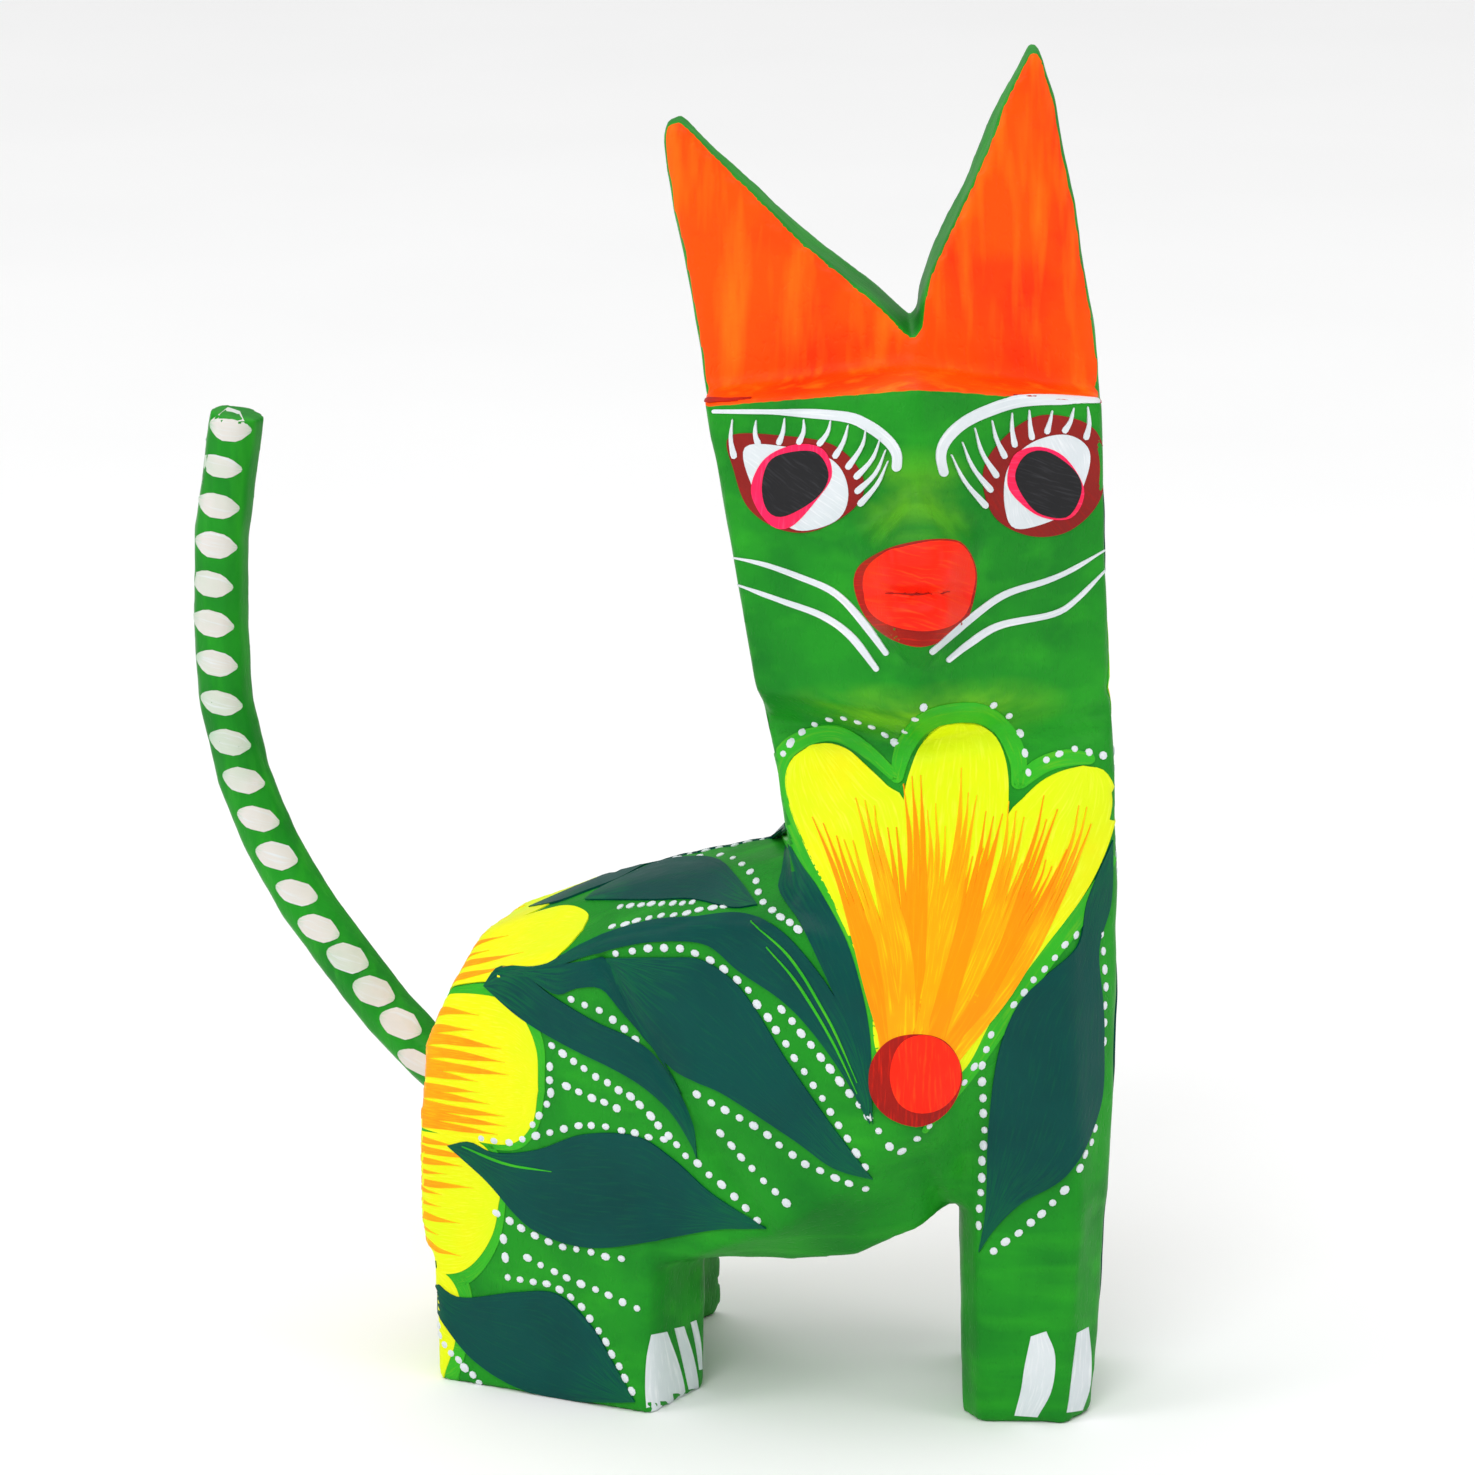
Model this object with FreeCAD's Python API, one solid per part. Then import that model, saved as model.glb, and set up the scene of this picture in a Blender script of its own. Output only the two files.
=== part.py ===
import FreeCAD, Part
import math
import os

from FreeCAD import Vector

# A seated cat carved from one block of soft wood, with a stick for its tail.
# The tail is a second piece: a loose dowel holds it in a hole in the rump.
# Millimetres. +X is the way the cat's body points, -Y is its right flank, +Z is up from its soles.
# The head is turned to look along -Y. The hindquarters are turned away from the post of
# the neck and front legs, so that the rump points back and to the left flank.

# Driving dimensions
EAR_TIP = 178.6          # top of the taller ear, over the soles
NOTCH = 141.5            # bottom of the V between the ears
BROW_MIDDLE = 139.0      # forehead ledge over the nose
BROW_SIDE = 134.7        # forehead ledge at the edges of the face
CHIN = 97.6              # under the jaw
NOSE_X = 22.5            # the face's vertical ridge
ARCH_TOP = 30.0          # top of the gap between the front and rear legs
LEG_JOIN = 40.0          # the legs' lofts end here, inside the body
HAUNCH_TURN = 27.0       # how far the hindquarters are turned away, in degrees
REAR_LEG_LENGTH = 33.3
REAR_LEG_THICK = 14.0
REAR_FOOT_GAP = 14.0     # between the two rear legs
FAR_FOOT_SETBACK = 12.2  # the left rear foot stands this much further back
FRONT_LEG_GAP = 5.0      # saw cut between the two front legs

TAIL_RADIUS = 3.8
TAIL_SIDES = 10          # the stick is whittled into flats
SOCKET_TILT = 32.0       # the hole in the rump rises towards its mouth, in degrees
SOCKET_DEPTH = 12.0      # hole in the rump
SEAT_RADIUS = 6.0        # flat cut round the hole, where the tail's root sits
SEAT_GAP = 0.3           # between the flat and the tail's root
TAIL_BORE_DEPTH = 10.0   # hole in the root of the tail
PEG_RADIUS = 2.0
RUNNING_CLEARANCE = 0.05
PEG_END_GAP = 0.4        # left at the bottom of each hole

# The middle of the whole object's base, in the coordinates that the carving is laid out in
BASE_CENTRE = Vector(-12.2, 6.0, 0)

BACKWARDS = Vector(-math.cos(math.radians(HAUNCH_TURN)), math.sin(math.radians(HAUNCH_TURN)), 0)
LEFTWARDS = Vector(math.sin(math.radians(HAUNCH_TURN)), math.cos(math.radians(HAUNCH_TURN)), 0)
RUMP_CORNER = Vector(-42.2, 2.1, 0)     # where the right flank turns on to the rump
TAIL_ROOT = RUMP_CORNER + LEFTWARDS * 17 + Vector(0, 0, 34)


def polygon(points):
    """A closed wire through the points."""
    corners = [Vector(*point) for point in points]
    return Part.makePolygon(corners + corners[:1])


def level(points, z):
    """A closed level wire at height z through plan points."""
    return polygon([(x, y, z) for x, y in points])


def loft(wires):
    """A solid with straight-ruled sides through the wires."""
    return Part.makeLoft(wires, True, True)


def front_view_slab(outline, y_front, y_back):
    """A front-view outline carried straight through from y_front to y_back."""
    face = Part.Face(polygon([(x, y_front, z) for x, z in outline]))
    return face.extrude(Vector(0, y_back - y_front, 0))


def across(start, turn, width, profile):
    """A trunk section: profile gives (share of the width, z), from the right flank to the left."""
    step = Vector(math.sin(math.radians(turn)), math.cos(math.radians(turn)), 0) * width
    return polygon([(start + step * share + Vector(0, 0, z)) for share, z in profile])


def trunk_section(x, y, turn, width, crest, shoulder, keel, belly):
    """One cut through the trunk, square to it. x and y are on the right flank."""
    middle = keel + (shoulder - keel) * 0.45
    profile = [
        (0.00, middle),
        (0.05, shoulder),
        (0.32, crest - 1.2),
        (0.62, crest),
        (0.93, shoulder + 1),
        (1.00, middle),
        (0.95, keel),
        (0.76, belly),
        (0.28, belly),
        (0.03, keel),
    ]
    return across(Vector(x, y, 0), turn, width, profile)


def trunk():
    """From the rump to the chest, whose point bulges forward under the flower."""
    return loft([
        trunk_section(-42.2, 2.1, HAUNCH_TURN, 33, 50.0, 45.0, 18.0, 16.0),
        trunk_section(-39.1, 0.5, HAUNCH_TURN, 36, 60.0, 52.6, 17.0, 15.0),
        trunk_section(-29.0, -4.7, HAUNCH_TURN, 38, 65.2, 58.4, 17.0, 15.0),
        trunk_section(-17.3, -10.7, 25, 38, 69.8, 63.9, 19.0, 16.5),
        trunk_section(-6.5, -15.7, 21, 36, 73.0, 67.5, 22.0, 19.5),
        trunk_section(5.0, -20.2, 15, 35, 76.0, 69.0, 27.5, 20.5),
        trunk_section(14.0, -23.0, 9, 34, 78.0, 66.0, 34.0, 22.0),
        trunk_section(23.0, -25.0, 4, 33, 79.0, 60.0, 42.7, 26.5),
        trunk_section(30.0, -19.3, 0, 30, 78.0, 56.0, 44.0, ARCH_TOP),
    ])


def post():
    """The upright of the neck, chest and shoulders, over the front legs."""
    return loft([
        level([(27, 9), (27, -12), (28, -15.5), (29.4, -15), (31, -18),
               (44.5, -18.5), (48.2, -13), (47.6, 12)], ARCH_TOP - 0.5),
        level([(21, 9), (21, -23.6), (24, -25), (30, -19.5), (33, -20),
               (43.4, -20.2), (48.7, -13), (48.2, 12)], 43),
        level([(16, 10), (16, -22.8), (24, -25.2), (30.5, -22.2), (34, -21.4),
               (43, -20.4), (48.9, -12.8), (48.4, 12)], 50),
        level([(13, 10), (10, -21), (23, -24.8), (30, -23.8), (35, -22.6),
               (42.6, -20), (49, -12.5), (48.5, 12)], 60),
        level([(9, 10), (6.8, -16.5), (22, -22.6), (29, -22), (35, -20.5),
               (42.4, -18), (49, -11.8), (48.6, 11)], 73),
        level([(6.5, 10), (5.4, -11), (22, -19.2), (29, -18.7), (35, -17.4),
               (42.2, -15), (48.5, -10.5), (48.2, 10.5)], 86),
        level([(4, 9), (3, -9), (22, -17), (29, -16.3), (35, -15),
               (42, -12.8), (47.9, -9.5), (47.7, 10)], CHIN - 1.6),
    ])


def head_and_ears():
    """A tapered block with a prow-shaped face, a forehead ledge and two pointed ears."""
    outline = [
        (2.5, CHIN), (-4.1, BROW_SIDE), (-5.8, 146.6), (-8.1, 157.3), (-9.6, 166.4),
        (-9.0, 168.8), (-7.0, 169.0), (-3.2, 165.0), (2.5, 159.8), (8.2, 154.2), (18.4, 146.2),
        (21.8, 142.9), (22.4, NOTCH), (23.1, NOTCH), (23.3, 146.2), (24.8, 151.2), (29.4, 160.8),
        (33.8, 171.8), (37.3, EAR_TIP), (38.2, EAR_TIP), (40.2, 172.2), (43.0, 158.6),
        (45.7, 142.4), (46.4, BROW_SIDE), (47.7, CHIN),
    ]
    block = front_view_slab(outline, -35, 20)
    # plan of the face's two flats and of the back of the head, at the jaw, the brow and the ear tips
    faces = loft([
        level([(-14, -5.4), (NOSE_X, -24.6), (58, -3.4), (58, 2), (42, 10), (5, 10), (-14, 3)], CHIN - 1),
        level([(-14, -4.9), (NOSE_X, -22.2), (58, -3.4), (58, 2), (42, 10), (5, 10), (-14, 3)], 137),
        level([(-14, -4.9), (NOSE_X, -22.2), (58, -3.4), (58, 6), (42, 7), (5, 7), (-14, 6)], EAR_TIP + 1),
    ])
    # what is cut away in front of the ears and over the forehead ledge
    before_ears = loft([
        level([(-14, 0.3), (NOSE_X, -8.4), (58, 0.3), (58, -40), (-14, -40)], 130),
        level([(-14, 2.6), (NOSE_X, -5.6), (58, 2.6), (58, -40), (-14, -40)], EAR_TIP + 5),
    ])
    over_ledge = front_view_slab([
        (-14, BROW_SIDE - 1.7), (NOSE_X, BROW_MIDDLE), (58, BROW_SIDE - 2.2),
        (58, EAR_TIP + 3), (-14, EAR_TIP + 3),
    ], -38, 20)
    return block.common(faces).cut(before_ears.common(over_ledge))


def jaw():
    """The underside of the face slopes back to the neck."""
    return loft([
        level([(5, 8), (5, -9), (NOSE_X, -17.5), (44, -10), (46, 9)], CHIN - 5.5),
        level([(2.5, 9), (2.5, -13.6), (NOSE_X, -24.5), (47.7, -9.6), (47.7, 7)], CHIN),
    ])


def nose():
    """A blunt snout that stands out from the ridge of the face, with a pointed bridge."""
    return loft([
        level([(20.0, -20), (22.0, -24.6), (24.0, -24.4), (26.0, -20)], 103.5),
        level([(15.5, -19), (19.8, -27.4), (25.4, -27.4), (29.6, -19)], 109.0),
        level([(14.5, -19), (19.2, -28.2), (25.8, -28.2), (30.8, -19)], 119.0),
        level([(21.8, -21), (22.2, -23.2), (22.8, -23.2), (23.2, -21)], 125.5),
    ])


def front_leg(y_front, y_back, inset):
    """A straight leg under the post, wider at the shoulder. Its front corners are whittled off."""
    toe = y_front
    heel = y_back
    bevel = 5.0
    return loft([
        level([(29.8 + inset, heel), (29.6 + inset, toe + bevel), (31.6 + inset, toe + 0.3),
               (43.0 - inset, toe), (46.6 - inset, toe + bevel), (46.2 - inset, heel)], 0),
        level([(28.6 + inset, heel), (28.6 + inset, toe + bevel), (31.0 + inset, toe - 1.4),
               (44.5 - inset, toe - 2.2), (48.6 - inset, toe + bevel), (48.2 - inset, heel)], LEG_JOIN),
    ])


def rear_leg(outer_heel, length, lean_in):
    """A slab of a leg under the haunch. lean_in is how far its top leans towards the trunk."""
    forward = BACKWARDS * -length
    inward = LEFTWARDS * REAR_LEG_THICK
    outer_toe = outer_heel + forward
    sole = [
        outer_heel + inward,
        outer_heel,
        outer_toe + BACKWARDS * 1.5,
        outer_toe + LEFTWARDS * 3.0 + BACKWARDS * 0.8,
        outer_toe + inward,
    ]
    rise = Vector(0, 0, LEG_JOIN) + lean_in
    swell = BACKWARDS * 1.6      # the back of the haunch is fuller than the heel
    top = [corner + rise + swell for corner in sole[:2]] + [corner + rise for corner in sole[2:]]
    return loft([polygon(sole), polygon(top)])


def rear_legs():
    right_heel = Vector(-40.0, 1.0, 0)
    left_length = 25.0
    toe_setback = REAR_LEG_LENGTH - FAR_FOOT_SETBACK - left_length
    left_heel = right_heel + LEFTWARDS * (REAR_LEG_THICK + REAR_FOOT_GAP) - BACKWARDS * toe_setback
    return [
        rear_leg(right_heel, REAR_LEG_LENGTH, LEFTWARDS * 0.5),
        rear_leg(left_heel, left_length, LEFTWARDS * -7 + BACKWARDS * -4),
    ]


def socket_axis():
    """Unit vector out of the rump's hole, along which the dowel and the tail pull out."""
    tilt = math.radians(SOCKET_TILT)
    return BACKWARDS * math.cos(tilt) + Vector(0, 0, math.sin(tilt))


def carved_body():
    right_front = front_leg(-17.0, -4.5, 0)
    left_front = front_leg(-4.5 + FRONT_LEG_GAP, 12.0, 0.8)
    body = trunk().fuse([post(), head_and_ears(), jaw(), nose(), right_front, left_front] + rear_legs())
    hole = Part.makeCylinder(PEG_RADIUS + RUNNING_CLEARANCE, SOCKET_DEPTH + 1,
                             TAIL_ROOT - socket_axis() * SOCKET_DEPTH, socket_axis())
    seat = Part.makeCylinder(SEAT_RADIUS, 12, TAIL_ROOT, socket_axis())
    return body.cut([hole, seat]).removeSplitter()


def tail_spine():
    """Points along the middle of the tail, from root to tip, in the upright plane behind the rump."""
    out_and_up = [
        (7.8, 39.0), (14.0, 44.2), (20.2, 50.7), (27.0, 58.3), (32.2, 66.0), (36.2, 74.6),
        (38.7, 84.5), (39.4, 95.0), (38.9, 108.0), (36.2, 124.6),
    ]
    root = [TAIL_ROOT + socket_axis() * SEAT_GAP]
    level_root = Vector(TAIL_ROOT.x, TAIL_ROOT.y, 0)
    return root + [level_root + BACKWARDS * out + Vector(0, 0, up) for out, up in out_and_up]


def ring(centre, along, radius):
    """A many-sided wire round the spine, square to it."""
    upright = along.cross(LEFTWARDS)
    upright.normalize()
    turns = [2 * math.pi * k / TAIL_SIDES for k in range(TAIL_SIDES)]
    return polygon([centre + LEFTWARDS * (radius * math.cos(a)) + upright * (radius * math.sin(a))
                    for a in turns])


def tail():
    """A bent stick, whittled into flats, sawn off square at its tip and drilled at its root."""
    spine = tail_spine()
    last = len(spine) - 1
    rings = []
    for k, point in enumerate(spine):
        along = spine[min(k + 1, last)] - spine[max(k - 1, 0)]
        if k == 0:
            along = socket_axis()
        along.normalize()
        rings.append(ring(point, along, TAIL_RADIUS))
    bore = Part.makeCylinder(PEG_RADIUS + RUNNING_CLEARANCE, TAIL_BORE_DEPTH + SEAT_GAP,
                             TAIL_ROOT, socket_axis())
    return loft(rings).cut(bore)


def tail_peg():
    """The loose dowel. One half is in the rump, the other in the tail."""
    length = SOCKET_DEPTH + TAIL_BORE_DEPTH + SEAT_GAP - 2 * PEG_END_GAP
    start = TAIL_ROOT - socket_axis() * (SOCKET_DEPTH - PEG_END_GAP)
    return Part.makeCylinder(PEG_RADIUS, length, start, socket_axis())


def main():
    nodes = {"carved_body": carved_body(), "tail": tail(), "tail_peg": tail_peg()}
    os.makedirs("parts", exist_ok=True)
    whole = FreeCAD.BoundBox()
    for name, shape in nodes.items():
        shape.translate(-BASE_CENTRE)
        shape.exportStep(os.path.join("parts", name + ".step"))
        whole.add(shape.optimalBoundingBox(False))
        print(name, "valid", shape.isValid(), "solids", len(shape.Solids), "volume", round(shape.Volume, 1))
    print("box", whole)
    print("tail root", TAIL_ROOT - BASE_CENTRE, "axis", socket_axis())


main()
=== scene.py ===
import math
import random
from bisect import bisect_left

import bmesh
import bpy
from mathutils import Matrix, Vector, noise
from mathutils.bvhtree import BVHTree


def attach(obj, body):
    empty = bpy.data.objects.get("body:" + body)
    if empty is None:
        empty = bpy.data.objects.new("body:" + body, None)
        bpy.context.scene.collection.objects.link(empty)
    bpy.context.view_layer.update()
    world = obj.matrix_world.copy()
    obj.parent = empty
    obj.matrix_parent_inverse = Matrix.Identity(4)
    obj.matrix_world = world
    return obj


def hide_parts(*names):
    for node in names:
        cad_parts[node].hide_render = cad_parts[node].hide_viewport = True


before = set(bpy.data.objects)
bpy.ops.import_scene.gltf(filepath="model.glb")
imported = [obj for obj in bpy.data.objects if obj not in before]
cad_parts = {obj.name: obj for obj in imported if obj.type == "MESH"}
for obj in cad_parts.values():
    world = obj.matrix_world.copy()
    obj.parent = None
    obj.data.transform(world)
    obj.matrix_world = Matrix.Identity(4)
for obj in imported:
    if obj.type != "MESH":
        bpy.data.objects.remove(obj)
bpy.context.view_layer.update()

# A carved and painted wooden cat: the whittled body and tail, and the paint on them.
# The paint is laid as thin films and drops of real thickness. A motif is drawn in millimetres on a
# flat board held up to the wood, and carried straight into it.

MM = 0.001
SEED = 7

# Whittling, in metres
BODY_SKIN = 0.82 * MM        # spacing of the evened skin
TAIL_SKIN = 0.5 * MM
SANDINGS = 3
KNIFE_DEPTH = 0.22 * MM
KNIFE_WIDTH = 9 * MM
TAIL_KNIFE_SHARE = 0.6       # the tail's knife marks are this much smaller
SOLE_HEIGHT = 3 * MM         # knife marks fade out below this, so that the soles stay flat

# Paint films and drops, in millimetres
FILM_STEP = 0.9              # spacing of a film's vertices
STROKE_STEP = 0.55           # the same along and across a brush stroke
RUMP_STEP = 1.2              # the same round the tail's root, in degrees
FIRST_LIFT = 0.10            # thickness of a film on bare ground
LEVEL_LIFT = 0.06            # how much higher each level of paint lies
ROOT_IN_WOOD = 0.08          # how far a film's underside is in the wood
MERGE_NEAR = 0.02
FILM_EDGE = math.radians(50)
STROKE_MAP_SCALE = 0.1
DROP_HEIGHT = 0.24
DROP_SINK = 0.05
DROP_RADIUS = 0.54
DROP_WANDER = 0.12           # how far a drop strays from its row
DROP_UNEVEN = (0.86, 1.12)   # smallest and largest drop, as shares of the radius
DROP_STRETCH = (1.0, 1.35)

# Levels of paint, from the first on the wood to the last
GROUND, EDGE, WHITE, RING, PUPIL = 0, 1, 1, 2, 3
LASH_LEVEL = 2
NOSE_LEVEL = 3
MOUTH_SHADE_LEVEL = 4.5
PETAL_LEVEL = 1
BED_LEVEL = 2.4
FLAME_LEVEL = 3
BERRY_SHADE_LEVEL = 5.4
BERRY_LEVEL = 6.6
LEAF_LEVEL = 2.8
CHEST_LEAF_LEVEL = 2.6
LEAF_LINE_LEVEL = 4.6

# Drawing boards
EYE_TILT = math.radians(14)  # the front board leans back by this much
STAND_OFF = 300              # how far off the wood a board is held

# The edge of the ears' orange: the ledge falls off to both sides of the ridge between the ears,
# and the ears' fronts turn away from it
EAR_RIDGE_X = 34.7 * MM
EAR_RIDGE_Y = -13.9 * MM
EAR_TURN = 0.24
EAR_LEAN = 0.052
LEDGE_TOP = 138.1 * MM
LEDGE_FALL = 0.172
LEDGE_EDGE = 0.9 * MM

# Studio: each light's name, place, aim, width in metres and power in watts
LIGHTS = [
    ("overhead_light", (0.0, 0.6, 2.6), (0, 0.6, 0), 5.0, 62),
    ("front_light", (-0.3, -1.3, 1.3), (0, 0, 0.09), 0.8, 10),
    ("left_light", (-1.1, -0.5, 0.6), (0, 0, 0.09), 0.6, 4),
    ("right_light", (1.1, -0.6, 0.5), (0, 0, 0.09), 0.6, 3),
]
SKY_STRENGTH = 0.4
FLOOR_HALF_WIDTH = 8
CAMERA_PLACE = (0.0122, -0.8793, 0.3060)
LENS = 168.97
SENSOR = 36

dice = random.Random(SEED)


# ---- colours and shader parts ----


def shade(red, green, blue):
    """A paint colour from 0 to 255 as linear light."""
    light = []
    for value in (red, green, blue):
        value /= 255
        light.append(value / 12.92 if value <= 0.04045 else ((value + 0.055) / 1.055) ** 2.4)
    return (*light, 1)


GRASS_GREEN = shade(30, 144, 32)
DEEP_GREEN = shade(16, 116, 30)
BRIGHT_GREEN = shade(52, 178, 36)
LIME_TINT = shade(116, 190, 30)
EAR_ORANGE = shade(252, 80, 0)
EAR_LIGHT = shade(255, 122, 14)
EAR_RED = shade(236, 44, 6)
TEAL = shade(0, 72, 66)
TEAL_DEEP = shade(0, 56, 56)
TEAL_LIGHT = shade(6, 104, 56)
LEMON = shade(222, 240, 14)
LEMON_LIGHT = shade(244, 255, 70)
LEMON_DEEP = shade(250, 226, 12)
AMBER = shade(255, 168, 4)
AMBER_DEEP = shade(255, 120, 4)
EMBER = shade(255, 148, 0)
EMBER_DEEP = shade(255, 126, 0)
SCARLET = shade(252, 40, 16)
SCARLET_LIGHT = shade(255, 92, 30)
SCARLET_EDGE = shade(232, 26, 10)
SCARLET_DEEP = shade(168, 26, 16)
BRICK = shade(142, 34, 30)
BRICK_DEEP = shade(110, 22, 22)
PINK = shade(255, 34, 96)
PINK_LIGHT = shade(255, 90, 140)
COAL = shade(36, 36, 38)
COAL_LIGHT = shade(66, 66, 70)
COAL_DEEP = shade(24, 24, 26)
CHALK = shade(218, 224, 228)
CHALK_DEEP = shade(184, 198, 200)
WASHED_WHITE = shade(216, 212, 206)
WASHED_GREEN = shade(150, 200, 160)
WASHED_TIP = shade(130, 190, 140)
BARE_WOOD = shade(196, 160, 112)
BARE_WOOD_DEEP = shade(150, 110, 70)


PAINT_ROUGHNESS = 0.42
PAINT_GLOSS = 0.03
PUPIL_GLOSS = 0.06
BRISTLE_FINENESS = 26.0
STROKE_RELIEF = 0.05         # depth of the bristle marks, in millimetres


def add(tree, kind, feeds=None, **settings):
    """Adds a shader node, sets it, and feeds its sockets with values or other nodes' sockets."""
    made = tree.nodes.new(kind)
    for key, value in settings.items():
        setattr(made, key, value)
    for socket, value in (feeds or {}).items():
        if isinstance(value, bpy.types.NodeSocket):
            tree.links.new(value, made.inputs[socket])
        else:
            made.inputs[socket].default_value = value
    return made


def blend_colours(tree, share, first, second):
    feeds = {0: share, 6: first, 7: second}
    return add(tree, "ShaderNodeMix", feeds, data_type="RGBA").outputs[2]


def sum_up(tree, operation, *values):
    feeds = dict(enumerate(values))
    return add(tree, "ShaderNodeMath", feeds, operation=operation).outputs[0]


def spread(tree, value, low, high, to_low=0.0, to_high=1.0):
    feeds = {0: value, 1: low, 2: high, 3: to_low, 4: to_high}
    return add(tree, "ShaderNodeMapRange", feeds, clamp=True).outputs[0]


def speckle(tree, vector, scale, stretch=(1, 1, 1), detail=3.0):
    """Noise from 0 to 1, drawn out along the axes with a small stretch."""
    mapped = add(tree, "ShaderNodeMapping", {"Vector": vector, "Scale": stretch}).outputs[0]
    feeds = {"Vector": mapped, "Scale": scale, "Detail": detail}
    return add(tree, "ShaderNodeTexNoise", feeds).outputs["Fac"]


def shader_group(name, inputs, outputs):
    """An empty node group with its sockets, its input node and its output node."""
    group = bpy.data.node_groups.new(name, "ShaderNodeTree")
    for label, kind in inputs:
        group.interface.new_socket(label, in_out="INPUT", socket_type=kind)
    for label, kind in outputs:
        group.interface.new_socket(label, in_out="OUTPUT", socket_type=kind)
    return group, group.nodes.new("NodeGroupInput"), group.nodes.new("NodeGroupOutput")


def build_wood_skin():
    """Wood fibre and pores that show through the paint: a height, and how worn the paint looks."""
    group, given, result = shader_group(
        "wood_skin",
        [("Place", "NodeSocketVector")],
        [("Height", "NodeSocketFloat"), ("Mottle", "NodeSocketFloat")],
    )
    place = given.outputs["Place"]
    fibre = speckle(group, place, 900, (0.35, 1, 0.18), 4)
    pores = speckle(group, place, 2600, (0.5, 1, 0.4), 1)
    pits = spread(group, pores, 0.30, 0.42)
    dabs = speckle(group, place, 210, (1, 1, 1), 2)
    height = sum_up(group, "MULTIPLY_ADD", fibre, 0.6, sum_up(group, "MULTIPLY", pits, 0.25))
    height = sum_up(group, "MULTIPLY_ADD", dabs, 0.7, height)
    group.links.new(height, result.inputs["Height"])
    group.links.new(speckle(group, place, 70, (1, 1, 1), 4), result.inputs["Mottle"])
    return group


def build_brush_marks():
    """Bristle streaks that run along a stroke of paint."""
    group, given, result = shader_group(
        "brush_marks",
        [("Stroke", "NodeSocketVector"), ("Fineness", "NodeSocketFloat")],
        [("Streaks", "NodeSocketFloat")],
    )
    mapped = add(group, "ShaderNodeMapping", {"Vector": given.outputs["Stroke"], "Scale": (0.09, 1, 1)})
    feeds = {"Vector": mapped.outputs[0], "Scale": given.outputs["Fineness"], "Detail": 3.0}
    noise_node = add(group, "ShaderNodeTexNoise", feeds)
    group.links.new(noise_node.outputs["Fac"], result.inputs["Streaks"])
    return group


wood_skin = build_wood_skin()
brush_marks = build_brush_marks()


def use_group(tree, group, feeds):
    return add(tree, "ShaderNodeGroup", feeds, node_tree=group)


def start_material(name, roughness, gloss):
    """A material with its tree, its shader, Object coordinates and the wood's skin."""
    material = bpy.data.materials.new(name)
    material.use_nodes = True
    tree = material.node_tree
    shader = tree.nodes["Principled BSDF"]
    shader.inputs["Roughness"].default_value = roughness
    shader.inputs["Coat Weight"].default_value = gloss
    shader.inputs["Specular IOR Level"].default_value = 0.1
    shader.inputs["Coat Roughness"].default_value = 0.35
    place = add(tree, "ShaderNodeTexCoord").outputs["Object"]
    skin = use_group(tree, wood_skin, {"Place": place})
    return material, tree, shader, place, skin


def finish_material(tree, shader, colour, height, depth, roughness=None):
    bump = add(tree, "ShaderNodeBump", {"Height": height, "Distance": depth * MM, "Strength": 1.0})
    tree.links.new(colour, shader.inputs["Base Color"])
    tree.links.new(bump.outputs[0], shader.inputs["Normal"])
    if roughness is not None:
        tree.links.new(roughness, shader.inputs["Roughness"])


def stroke_paint(name, full, light, deep, gloss=PAINT_GLOSS, streaks=0.5, tips=None):
    """Paint put on with a brush: streaks along the stroke, thin and thick places, and dry tips."""
    material, tree, shader, _, skin = start_material(name, PAINT_ROUGHNESS, gloss)
    stroke = add(tree, "ShaderNodeUVMap", uv_map="stroke").outputs[0]
    feeds = {"Stroke": stroke, "Fineness": BRISTLE_FINENESS}
    bristle = use_group(tree, brush_marks, feeds).outputs["Streaks"]
    thin = sum_up(tree, "MULTIPLY", spread(tree, bristle, 0.52, 0.74), streaks)
    thick = sum_up(tree, "MULTIPLY", spread(tree, skin.outputs["Mottle"], 0.45, 0.75), 0.6)
    colour = blend_colours(tree, thick, full, deep)
    colour = blend_colours(tree, thin, colour, light)
    if tips is not None:
        end = add(tree, "ShaderNodeAttribute", attribute_name="toward_end").outputs["Fac"]
        dry = sum_up(tree, "MULTIPLY", spread(tree, end, 0.45, 1.0), spread(tree, bristle, 0.40, 0.60))
        colour = blend_colours(tree, dry, colour, tips)
    height = sum_up(tree, "MULTIPLY_ADD", bristle, 0.6, skin.outputs["Height"])
    rough = spread(tree, bristle, 0.3, 0.7, PAINT_ROUGHNESS - 0.06, PAINT_ROUGHNESS + 0.08)
    finish_material(tree, shader, colour, height, STROKE_RELIEF, rough)
    return material


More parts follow.
